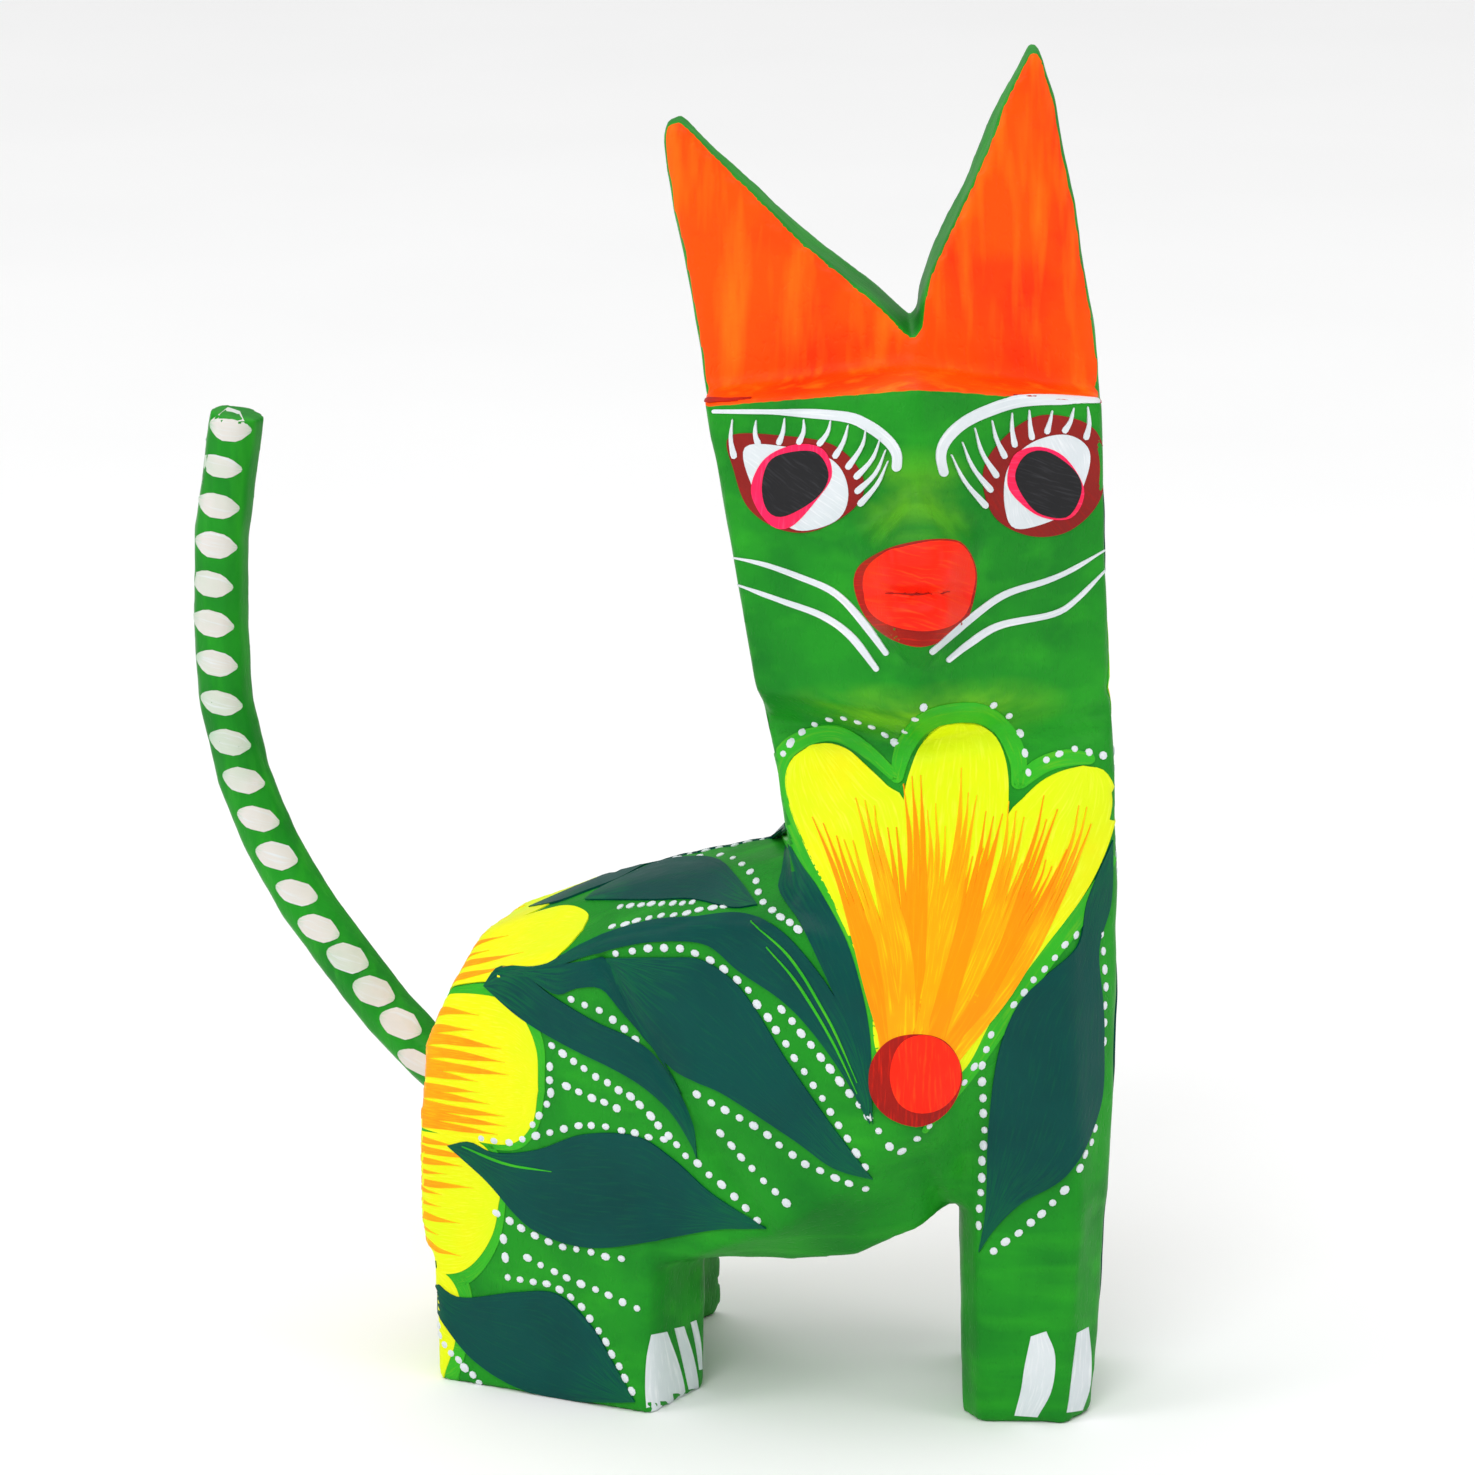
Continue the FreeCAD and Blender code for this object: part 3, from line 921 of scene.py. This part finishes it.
def paint_eye(ground, white, ring, pupil):
    brick.blob(FRONT, ground, level=GROUND)
    chalk.blob(FRONT, white, level=WHITE)
    pink.blob(FRONT, ring, level=RING)
    coal.blob(FRONT, pupil, level=PUPIL)


def paint_face():
    for line, widths, level in LEDGE_LINES:
        shadow_red.stroke(FRONT, line, widths, level=level)
    paint_eye(*LEFT_EYE)
    paint_eye(*RIGHT_EYE)
    for brow, widths in BROWS:
        chalk.stroke(FRONT, brow, widths)
    for lash in LEFT_LASHES + RIGHT_LASHES:
        chalk.stroke(FRONT, lash, LASH_WIDTHS, level=LASH_LEVEL)
    shadow_red.blob(FRONT, NOSE_RIM)
    scarlet.blob(FRONT, NOSE, level=NOSE_LEVEL)
    # Painted shade: a thin dark red line laid along the mouth's groove
    shadow_red.stroke(FRONT, MOUTH_CREASE_SHADE, [0.1, 0.35, 0.1], level=MOUTH_SHADE_LEVEL)
    for whisker in WHISKERS:
        chalk.stroke(FRONT, whisker, WHISKER_WIDTHS)


# ---- chest flower ----

CHEST_PETALS = [
    (
        [
            (34, 37), (30, 44), (29.3, 52), (27, 57.5), (24.3, 63.3), (21.3, 69.3), (19.2, 74.5),
            (18.4, 78.6), (19.2, 81.4), (21.6, 83.2),
        ],
        [
            (34, 37), (35, 50), (35, 63), (33.6, 75.5), (31.4, 78), (28.6, 80.7), (26.4, 82.6),
            (24, 83.4), (21.6, 83.2),
        ],
        0,
    ),
    (
        [
            (35, 38), (34, 55), (33.2, 70), (33.4, 76), (34.2, 80), (35.8, 83.6), (38, 85.7),
            (40.5, 86.1),
        ],
        [
            (35, 38), (43, 55), (46.2, 68), (46.7, 75), (46.6, 80), (45.5, 83.6), (43.4, 85.7),
            (40.5, 86.1),
        ],
        1,
    ),
    (
        [
            (34, 37), (37, 48), (42, 58), (45.6, 68), (46.6, 74), (48.6, 76.4), (51, 78.6),
            (53.6, 79.9), (56.4, 80.6),
        ],
        [
            (34, 37), (41, 41.5), (45, 48.6), (51, 56.8), (54, 60.6), (57.4, 65.4), (60, 71),
            (61, 76), (59.4, 79.8), (56.4, 80.6),
        ],
        0.5,
    ),
]
CHEST_FLAMES = [
    ([(22.6, 75), (25.2, 68), (27.5, 61), (30, 52), (32.4, 42)], 3.0),
    ([(25.6, 72), (27.6, 66), (29.4, 60), (31, 52), (33, 42)], 3.2),
    ([(28, 79), (29.5, 71.5), (31.5, 63), (33, 55), (33.8, 42)], 3.2),
    ([(31.4, 73), (32.4, 66), (33, 58), (34.2, 42)], 3.2),
    ([(34.4, 80), (35, 71), (35, 64), (34.6, 42)], 3.4),
    ([(37.4, 77), (37.6, 68), (36.4, 58), (35, 42)], 3.4),
    ([(41.8, 80.5), (41.2, 73), (39.8, 65), (37.6, 56), (35.6, 42)], 3.4),
    ([(42.8, 72), (41.4, 66), (39, 57), (35.8, 42)], 3.2),
    ([(45.2, 76), (43.6, 68.5), (41.2, 60), (38, 50), (36, 42)], 3.4),
    ([(48, 77), (46.8, 69), (43.6, 59), (39, 48), (36.6, 42)], 3.4),
    ([(49.6, 71), (47.6, 66), (44.4, 58), (40.4, 49.6), (37, 42)], 3.2),
    ([(52.6, 77.5), (50.8, 71), (47.4, 62), (42.4, 51.5), (37.4, 42)], 3.2),
    ([(53.6, 71), (51.4, 65.6), (47.6, 58.6), (43, 50.6), (38, 42)], 3.0),
    ([(57.4, 77.5), (55.4, 70), (51.6, 61.5), (46, 52), (38.6, 42)], 2.8),
]
FLAME_BED = (
    [(33.6, 36), (30.6, 44), (29.9, 50), (29.4, 56)],
    [(33.6, 36), (40.4, 43), (44.6, 50), (48, 56)],
)
BERRY_SHADE = [
    (35, 46.4), (38.4, 45.6), (40.4, 43), (40.7, 39.8), (38.8, 36.2), (35.4, 34.5), (31.6, 35.6),
    (29.3, 38.6), (29.4, 42.6), (31.6, 45.5),
]
BERRY = [
    (36, 46.3), (38.6, 45.3), (40.4, 42.8), (40.4, 39.6), (38.4, 37), (35.6, 36.2), (33, 37.4),
    (31.8, 40.4), (32.2, 43.4), (33.6, 45.6),
]
CHEST_HALO = [
    (
        [
            (30.4, 38), (28.6, 51.5), (26.2, 57.4), (23.2, 63.2), (20, 69.6), (18, 74.6),
            (17.3, 79), (18.4, 82.4), (21.8, 84.4), (25.2, 84.6), (28.6, 82.6), (32.6, 79),
        ],
        [0.6, 2.2, 2.4, 2.4, 2.4, 2.2, 1.4],
    ),
    (
        [
            (32.4, 78.4), (33.4, 82.6), (35.6, 86), (38.8, 87.2), (43, 87.3), (46, 85.4),
            (47.9, 81.6), (48, 77.6),
        ],
        [1.6, 2.4, 2.4, 2.4, 2.4, 1.8],
    ),
    ([(47.6, 78), (51, 80.6), (54.4, 81.6), (58, 81.4)], [1.8, 2.2, 2.2, 1.4]),
    (
        [(60.6, 69), (57.8, 64), (54.6, 59.6), (51.4, 55.6), (46.4, 48.4), (42, 41.8), (36, 33.6)],
        [1.2, 2.4, 2.4, 2.2, 0.8],
    ),
]


def paint_flame(board, spine, width, number):
    """Three thin pulls of the brush side by side, with uneven tips."""
    paint = embers if number % 4 in (0, 3) else flames
    for bristle in (-1, 0, 1):
        thin = width * dice.uniform(0.34, 0.5)
        tip = Line(spine).at(dice.uniform(0.0, 0.12)) + Vector((1.1 * bristle, 0))
        aside = Vector((0.8 * bristle, 0))
        fanned = [tip] + [Vector(spot) + aside for spot in spine[1:-1]] + [spine[-1]]
        widths = [0.1, 0.5 * thin, thin, 1.3 * thin, 1.6 * thin]
        level = FLAME_LEVEL + 0.3 * (bristle + 1) + 0.1 * (number % 3)
        paint.stroke(board, fanned, widths, level=level)


def paint_chest_flower():
    """The flower on the chest, and the same again on the back of the neck."""
    for board in (FRONT, NAPE):
        for left_edge, right_edge, level in CHEST_PETALS:
            petals.band(board, left_edge, right_edge, level=level + PETAL_LEVEL)
        flames.band(board, *FLAME_BED, level=BED_LEVEL)
        for number, (spine, width) in enumerate(CHEST_FLAMES):
            paint_flame(board, spine, width, number)
        shadow_red.blob(board, BERRY_SHADE, level=BERRY_SHADE_LEVEL)
        scarlet.blob(board, BERRY, level=BERRY_LEVEL)
    for board in (FRONT, NAPE):
        for spine, widths in CHEST_HALO:
            halo.stroke(board, spine, widths, level=EDGE)


# ---- leaves ----

LEAVES = [
    (
        [
            (-19.5, 53.6), (-17.5, 54.2), (-13, 54.6), (-8.5, 57), (-4, 59), (1.5, 60.5),
            (6.5, 61), (13, 61.5), (18, 59.3), (23.4, 53), (27, 46.5), (29, 39.6), (29.2, 34.6),
        ],
        [
            (-19.5, 53.6), (-15, 53), (-8.5, 55.4), (-3.5, 56.9), (1.5, 57.8), (8, 57.6),
            (12.4, 54.2), (18, 50.4), (22, 46.2), (26, 40.6), (29.2, 34.6),
        ],
    ),
    (
        [(-7.8, 62.8), (-5.5, 64.4), (1.5, 67.5), (6.5, 68.4), (10, 68), (12.4, 65.8), (14.8, 62.6)],
        [(-7.8, 62.8), (-3.5, 62.9), (1.5, 63), (6.5, 63.2), (11.5, 62.2), (14.8, 62.6)],
    ),
    (
        [(-15.5, 61.5), (-10.5, 63.7), (-4.5, 66.2), (1, 68.9), (9.5, 71.2), (18, 73.2)],
        [(-15.5, 61.5), (-11.5, 62.4), (-7.5, 63.9), (-3.5, 65.4), (1.5, 67.9), (8, 69.9), (18, 71.9)],
    ),
    (
        [
            (-4.8, 55.6), (3, 55.8), (7.5, 55.6), (11.6, 53), (14.6, 49.2), (18, 43.6),
            (21.5, 38.4), (25, 33.5), (29.6, 27.4),
        ],
        [
            (-4.8, 55.6), (-1.6, 48.6), (0.2, 45.4), (3, 42), (6.5, 39.9), (11, 37.9),
            (19.5, 32.4), (24.6, 28.8), (29.6, 27.4),
        ],
    ),
    (
        [
            (-21, 51.6), (-19, 54), (-16, 53.6), (-12, 50.6), (-6.5, 47.4), (-1.5, 45.2),
            (1.6, 42.8), (4.4, 38.8), (6.5, 33.8), (7, 29.6),
        ],
        [(-21, 51.6), (-16, 47.4), (-10, 44), (-4, 41.2), (0, 38.9), (3.5, 35.8), (6, 32), (7, 29.6)],
    ),
    (
        [
            (-16, 53.6), (-13, 54.2), (-7.5, 55.2), (-4.6, 55.4), (-2.6, 50.6), (0, 46.2),
            (3.4, 41), (5, 38),
        ],
        [
            (-16, 53.6), (-11.5, 50.8), (-8.6, 51.6), (-5.4, 51.6), (-3, 48.8), (0.8, 44.4),
            (3, 41.2), (5, 38),
        ],
    ),
    (
        [
            (-26, 30.4), (-23, 31), (-19.5, 29.6), (-14, 30.2), (-8, 32.4), (-1, 32.4), (4, 29.4),
            (9, 25), (16, 20.6),
        ],
        [
            (-26, 30.4), (-21, 26), (-16.5, 21), (-13.5, 19), (-9, 17.6), (-4, 17.6), (4, 19.2),
            (10, 20.4), (16, 20.6),
        ],
    ),
    (
        [(-29, 14.6), (-28, 12.4), (-24.5, 10), (-17, 11), (-11.5, 11), (-7, 7), (-4, 2), (-1.2, -3)],
        [
            (-29, 14.6), (-28.4, 11), (-27.4, 7.4), (-23, 1.8), (-17.4, -1.6), (-12, -2.8),
            (-6.8, -3.2), (-1.2, -3),
        ],
    ),
]
CREST_LEAVES = (1, 2)        # these lie on the crest of the back, so they are painted once
CHEST_LEAVES = [
    (
        [
            (18.7, 71), (18, 67), (17.6, 64.4), (20, 60.8), (22, 57), (25, 50.4), (27.6, 44),
            (29.6, 34.6),
        ],
        [
            (18.7, 71), (20.4, 68), (22.8, 64.6), (26, 58.6), (28, 52.4), (29.2, 46), (29.4, 39),
            (29.6, 34.6),
        ],
    ),
    (
        [
            (60.4, 71), (57, 63.4), (55.8, 57.6), (51.5, 53.6), (48, 50), (45.6, 43.6),
            (44.6, 34.5), (44.4, 24), (43.6, 17.4),
        ],
        [
            (60.4, 71), (60.2, 63), (58.6, 57), (59.2, 50), (59.4, 45.5), (59, 36.5), (55, 28),
            (49, 24), (45.6, 20.6), (43.6, 17.4),
        ],
    ),
]
LEAF_LINES = [
    [(14, 60.6), (19, 56), (24, 48), (27.6, 40)],
    [(16, 57.4), (20, 52.6), (24.4, 45.4), (27.6, 38.6)],
    [(-24, 30.4), (-18, 28.2), (-12, 27.4)],
]


def paint_leaves():
    for flank, chest in ((FRONT, FRONT), (LEFT_FLANK, NAPE)):
        for number, (upper_edge, lower_edge) in enumerate(LEAVES):
            if flank is FRONT or number not in CREST_LEAVES:
                leaves.band(flank, upper_edge, lower_edge, level=LEAF_LEVEL + 0.3 * (number % 4))
        for upper_edge, lower_edge in CHEST_LEAVES:
            leaves.band(chest, upper_edge, lower_edge, level=CHEST_LEAF_LEVEL)
    for line in LEAF_LINES:
        halo.stroke(FRONT, line, [0.15, 0.35, 0.3, 0.1], level=LEAF_LINE_LEVEL)


# ---- rump flower ----

# Bearing, half width and reach of each petal, in degrees round the tail's root
PETAL_RINGS = [(-2, 12, 84), (22, 13, 101), (64, 26, 96), (114, 25, 78), (150, 12, 72), (178, 14, 70)]
PETAL_FOOT = 22
MIDDLE_PETALS = (0, 5)       # the top and bottom ones have no mirror image
EDGED_PETALS = {1: (2, 3, 4, 5), -1: (3, 4)}     # right and left; none near the crest has a green edge


def rose_petal(paint, bearing, half_width, reach, level):
    """A petal around the tail root: narrow at its foot and round at its tip."""
    run = reach - PETAL_FOOT
    edges = []
    for side in (-1, 1):
        edges.append([
            (bearing + side * 0.75 * half_width, PETAL_FOOT),
            (bearing + side * 0.92 * half_width, PETAL_FOOT + 0.3 * run),
            (bearing + side * half_width, PETAL_FOOT + 0.6 * run),
            (bearing + side * 0.94 * half_width, PETAL_FOOT + 0.84 * run),
            (bearing + side * 0.55 * half_width, PETAL_FOOT + 0.97 * run),
            (bearing, reach),
        ])
    paint.band(RUMP, edges[0], edges[1], level=level)


def rose_flames(bearing, half_width, reach, count):
    for index in range(count):
        lean = (index + 0.5) / count * 2 - 1
        tip = PETAL_FOOT + (reach - PETAL_FOOT) * dice.uniform(0.56, 0.82)
        aim = bearing + lean * 0.9 * half_width
        spine = [(aim, tip), (aim + dice.uniform(-1, 1), 0.5 * (tip + 20)), (aim, 20)]
        level = 1.8 + 0.25 * (index % 3)
        flames.stroke(RUMP, spine, [0.1, 3.0, 6.5, 9.0], level=level, step=RUMP_STEP)


def paint_rump_flower():
    """Petals all round the tail's root: the right half, and its mirror image on the left."""
    for side in (1, -1):
        for number, (bearing, half_width, reach) in enumerate(PETAL_RINGS):
            if side < 0 and number in MIDDLE_PETALS:
                continue
            if number in EDGED_PETALS[side]:
                rose_petal(halo, side * bearing, half_width + 2.5, reach + 3, 0)
            rose_petal(petals, side * bearing, half_width, reach, 0.8 + 0.4 * (number % 2))
            rose_flames(side * bearing, half_width, reach, max(4, round(half_width / 2.4)))


# ---- rows of drops ----

ROWS = [
    ([(-3.5, 56.3), (5, 57), (12, 53.2), (17.6, 46), (23.6, 37), (28.6, 29)], 23),
    ([(18, 49.2), (23.5, 42.6), (29, 35.6)], 10),
    ([(-9.5, 50.2), (-4.5, 48), (-1, 45)], 6),
    ([(-12, 44), (-6, 40), (-0.5, 36.5), (5.5, 30)], 14),
    ([(-10, 38.6), (-6.6, 37.2), (-3.5, 36)], 5),
    ([(-12.4, 41.2), (-12.4, 37), (-14.6, 33.4)], 6),
    ([(-21.5, 31.6), (-17, 31.2), (-7.5, 33.6), (2.6, 32)], 14),
    ([(7, 29), (11.5, 25), (14.6, 21.6)], 6),
    ([(-19.5, 21.6), (-13, 18), (-3, 16)], 10),
    ([(-18.6, 18), (-18, 13)], 3),
    ([(-15.5, 15.6), (-8.5, 12.6), (-1, 9.6)], 9),
    ([(-16.5, 12.6), (-11, 11.6), (-6.5, 7), (-1.6, -1.6)], 13),
    ([(-27.8, 6), (-26, 2.6), (-22, -1.4)], 8),
    ([(7, 38), (15, 33.6), (21, 29.2), (28.6, 26)], 13),
    ([(10, 33), (13.6, 29), (18.6, 24)], 7),
    ([(-3, 62), (2, 62.6), (6.5, 62.8)], 8),
    ([(-4, 59.6), (2.5, 61), (10.6, 62.4)], 10),
    ([(-3.5, 65.6), (3.5, 68), (10, 68.8)], 6),
    ([(11.6, 68.4), (14.2, 66.4), (15.6, 63), (20, 59.6)], 10),
    ([(2, 68.6), (10.5, 70.4), (17.4, 72)], 9),
]
CREST_ROWS = 5               # the last rows lie along the crest of the back
RUMP_EDGE = -13              # rows that start further back than this run into the rump flower
LOW_ROWS = [(spine, count) for spine, count in ROWS[:-CREST_ROWS] if spine[0][0] > RUMP_EDGE]
CHEST_ROWS = [
    ([(29, 35.6), (31, 33), (33, 30.8), (38.5, 36.6), (42.6, 42)], 10),
    ([(55.5, 59), (51.5, 54.8), (47.6, 50)], 7),
    ([(44.6, 46.2), (43.6, 42), (44, 32), (43.4, 21)], 13),
    ([(59, 59), (59.6, 52), (59.6, 45)], 7),
    ([(58.5, 33.6), (57.6, 31), (56.4, 28.6)], 4),
    ([(54.4, 25.6), (50.6, 21.6), (45.4, 17.6)], 7),
    ([(18, 82), (20.6, 85), (25, 86.6), (29.5, 85.6), (32.4, 83.4)], 10),
    ([(33.6, 85), (35.6, 88)], 3),
    ([(44.8, 88.4), (48, 85.6), (49.4, 79.6)], 5),
    ([(51.6, 81.4), (55, 82.6), (59, 82)], 5),
]


def paint_rows():
    for board, rows in ((FRONT, ROWS + CHEST_ROWS), (LEFT_FLANK, LOW_ROWS), (NAPE, CHEST_ROWS)):
        for spine, count in rows:
            drops.row(board, spine, count)


# ---- the back of the head, and the cat's left side with a small flower of its own ----

# Foot, tip, width and bend of each leaf
HEAD_LEAVES = [
    ((33, 96), (14, 124), 8, 3),
    ((36, 96), (52, 124), 8, -3),
    ((34.5, 100), (34, 128), 7, 0),
    ((29, 93), (17, 104), 5, 2),
    ((40, 93), (55, 104), 5, -2),
]
HEAD_ROWS = [
    ([(31, 103), (29.4, 112), (30, 121), (33.6, 130)], 14),
    ([(38, 103), (39.6, 112), (39, 121), (35, 130)], 14),
    ([(13, 127), (11, 118), (15, 108), (22, 101)], 14),
    ([(54, 127), (57, 118), (54, 109), (47, 101)], 14),
]
SIDE_LEAVES = [
    ((-4, 86), (-12, 70), 6, 2),
    ((-10, 64), (-15, 42), 6, -2),
    ((-13.6, 36), (-14.4, 13), 4.6, 0),
    ((-0.5, 84), (0, 58), 5, 0),
    ((0, 34), (0.6, 12), 4.6, 0),
    ((-6, 110), (-4, 130), 7, 0),
]
SIDE_ROWS = [
    ([(-3, 88), (-4.4, 78), (-5, 66), (-5.6, 54)], 16),
    ([(-12, 88), (-14, 79), (-13, 70)], 9),
    ([(-1.6, 110), (-0.6, 120), (-1.4, 131)], 10),
    ([(-9, 40), (-10, 30), (-9, 20)], 10),
]
SIDE_FLOWER = Vector((-7.4, 98.5))
SIDE_PETALS = 6


def paint_head_back():
    for foot, tip, width, bend in HEAD_LEAVES:
        leaves.leaf(BACK, foot, tip, width, bend)
    for spine, count in HEAD_ROWS:
        drops.row(BACK, spine, count)


def paint_side_flower():
    middle = SIDE_FLOWER
    for number in range(SIDE_PETALS):
        turn = math.radians(-60 + 360 / SIDE_PETALS * number)
        way = Vector((math.cos(turn), math.sin(turn)))
        halo.leaf(SIDE, middle + way, middle + way * 7.6, 7.4, level=1)
        petals.leaf(SIDE, middle + way, middle + way * 7.2, 6.2, level=2)
        for lean in (-0.35, 0.0, 0.35):
            aim = Vector((math.cos(turn + lean), math.sin(turn + lean)))
            streak = [middle + aim * 5.2, middle + aim * 3, middle + aim]
            flames.stroke(SIDE, streak, [0.1, 0.8, 1.2], level=3)
    heart = [middle + Vector((math.cos(corner), math.sin(corner))) * 1.9 for corner in range(6)]
    scarlet.blob(SIDE, heart, level=5)


def paint_side():
    paint_side_flower()
    for foot, tip, width, bend in SIDE_LEAVES:
        leaves.leaf(SIDE, foot, tip, width, bend)
    for spine, count in SIDE_ROWS:
        drops.row(SIDE, spine, count)


# ---- toes ----

# The left and right edge of each toe
TOES = [
    (
        [(50.4, 6.2), (49.6, 2), (49.2, -1), (48.4, -4.4)],
        [(52.4, 6.9), (53.6, 3.6), (53.2, -1), (51.4, -4.6)],
    ),
    (
        [(56.4, 6.6), (55.9, 2), (55.5, -2), (55.2, -4)],
        [(58, 7.2), (58.5, 3), (58.4, -1), (57.4, -4)],
    ),
    (
        [(0.9, 6), (0.3, 3), (0.1, -1), (0.3, -4.4)],
        [(2.9, 6.2), (4.3, 2), (5.2, -2), (5, -4.9)],
    ),
    (
        [(3.9, 6.5), (4.9, 2), (5.7, -2), (6.2, -4.6)],
        [(5.1, 6.6), (6.4, 2), (7, -2), (6.7, -4.6)],
    ),
    (
        [(6, 7), (6.6, 4), (7.1, 0.4)],
        [(6.7, 7.2), (7.3, 4), (7.5, 0.4)],
    ),
]


def paint_toes():
    for left_edge, right_edge in TOES:
        chalk.band(FRONT, left_edge, right_edge, level=GROUND)


# ---- tail dabs ----

TAIL_DABS = [
    (-55, 123), (-56.5, 117), (-56.9, 111.1), (-57.4, 105.6), (-58, 99.9), (-57.7, 93.2),
    (-57.1, 86.7), (-56.4, 81.7), (-54.8, 76.9), (-52.5, 70.5), (-49.3, 64.2), (-46.8, 59.9),
    (-44, 55.6), (-40.9, 52.7), (-37.9, 49.5), (-34.3, 45), (-32, 42.8), (-30.3, 38.8),
]
DABS = 18


def paint_tail_dabs():
    """Dabs down both sides of the tail; those on the far side sit in the gaps of the near ones."""
    tail_line = Line(TAIL_DABS)
    for board, half_step in ((TAIL_NEAR, 0), (TAIL_FAR, 0.5)):
        for number in range(DABS - round(2 * half_step)):
            middle = tail_line.at((number + half_step) / (DABS - 1))
            slant = Vector((1, -0.12 - 0.25 * number / (DABS - 1)))
            spine = [middle + slant * reach for reach in (-3.1, -1.2, 1.0, 2.5)]
            wide = dice.uniform(0.9, 1.1)
            tail_marks.stroke(board, spine, [1.8 * wide, 3.3 * wide, 3.1 * wide, 1.0], level=GROUND)


paint_face()
paint_chest_flower()
paint_leaves()
paint_rump_flower()
paint_rows()
paint_head_back()
paint_side()
paint_toes()
paint_tail_dabs()
for paint in PAINTS:
    paint.finish()


# ---- floor, light and camera ----


def stage_floor():
    bm = bmesh.new()
    bmesh.ops.create_grid(bm, x_segments=2, y_segments=2, size=FLOOR_HALF_WIDTH)
    mesh = bpy.data.meshes.new("floor")
    bm.to_mesh(mesh)
    bm.free()
    mesh.materials.append(floor_paint())
    floor = bpy.data.objects.new("floor", mesh)
    bpy.context.scene.collection.objects.link(floor)


def soft_light(name, place, aim, size, power):
    data = bpy.data.lights.new(name, "AREA")
    data.shape = "DISK"
    data.size = size
    data.energy = power
    light = bpy.data.objects.new(name, data)
    bpy.context.scene.collection.objects.link(light)
    light.location = place
    light.rotation_euler = (Vector(aim) - Vector(place)).to_track_quat("-Z", "Y").to_euler()


stage_floor()
for light in LIGHTS:
    soft_light(*light)

world = bpy.data.worlds.new("studio")
world.use_nodes = True
world.node_tree.nodes["Background"].inputs["Color"].default_value = (1, 1, 1, 1)
world.node_tree.nodes["Background"].inputs["Strength"].default_value = SKY_STRENGTH
scene = bpy.context.scene
scene.world = world
scene.view_settings.view_transform = "Standard"

lens = bpy.data.cameras.new("camera")
lens.lens = LENS
lens.sensor_width = SENSOR
camera = bpy.data.objects.new("camera", lens)
scene.collection.objects.link(camera)
camera.location = CAMERA_PLACE
camera.rotation_euler = (math.radians(90) - EYE_TILT, 0, 0)
scene.camera = camera
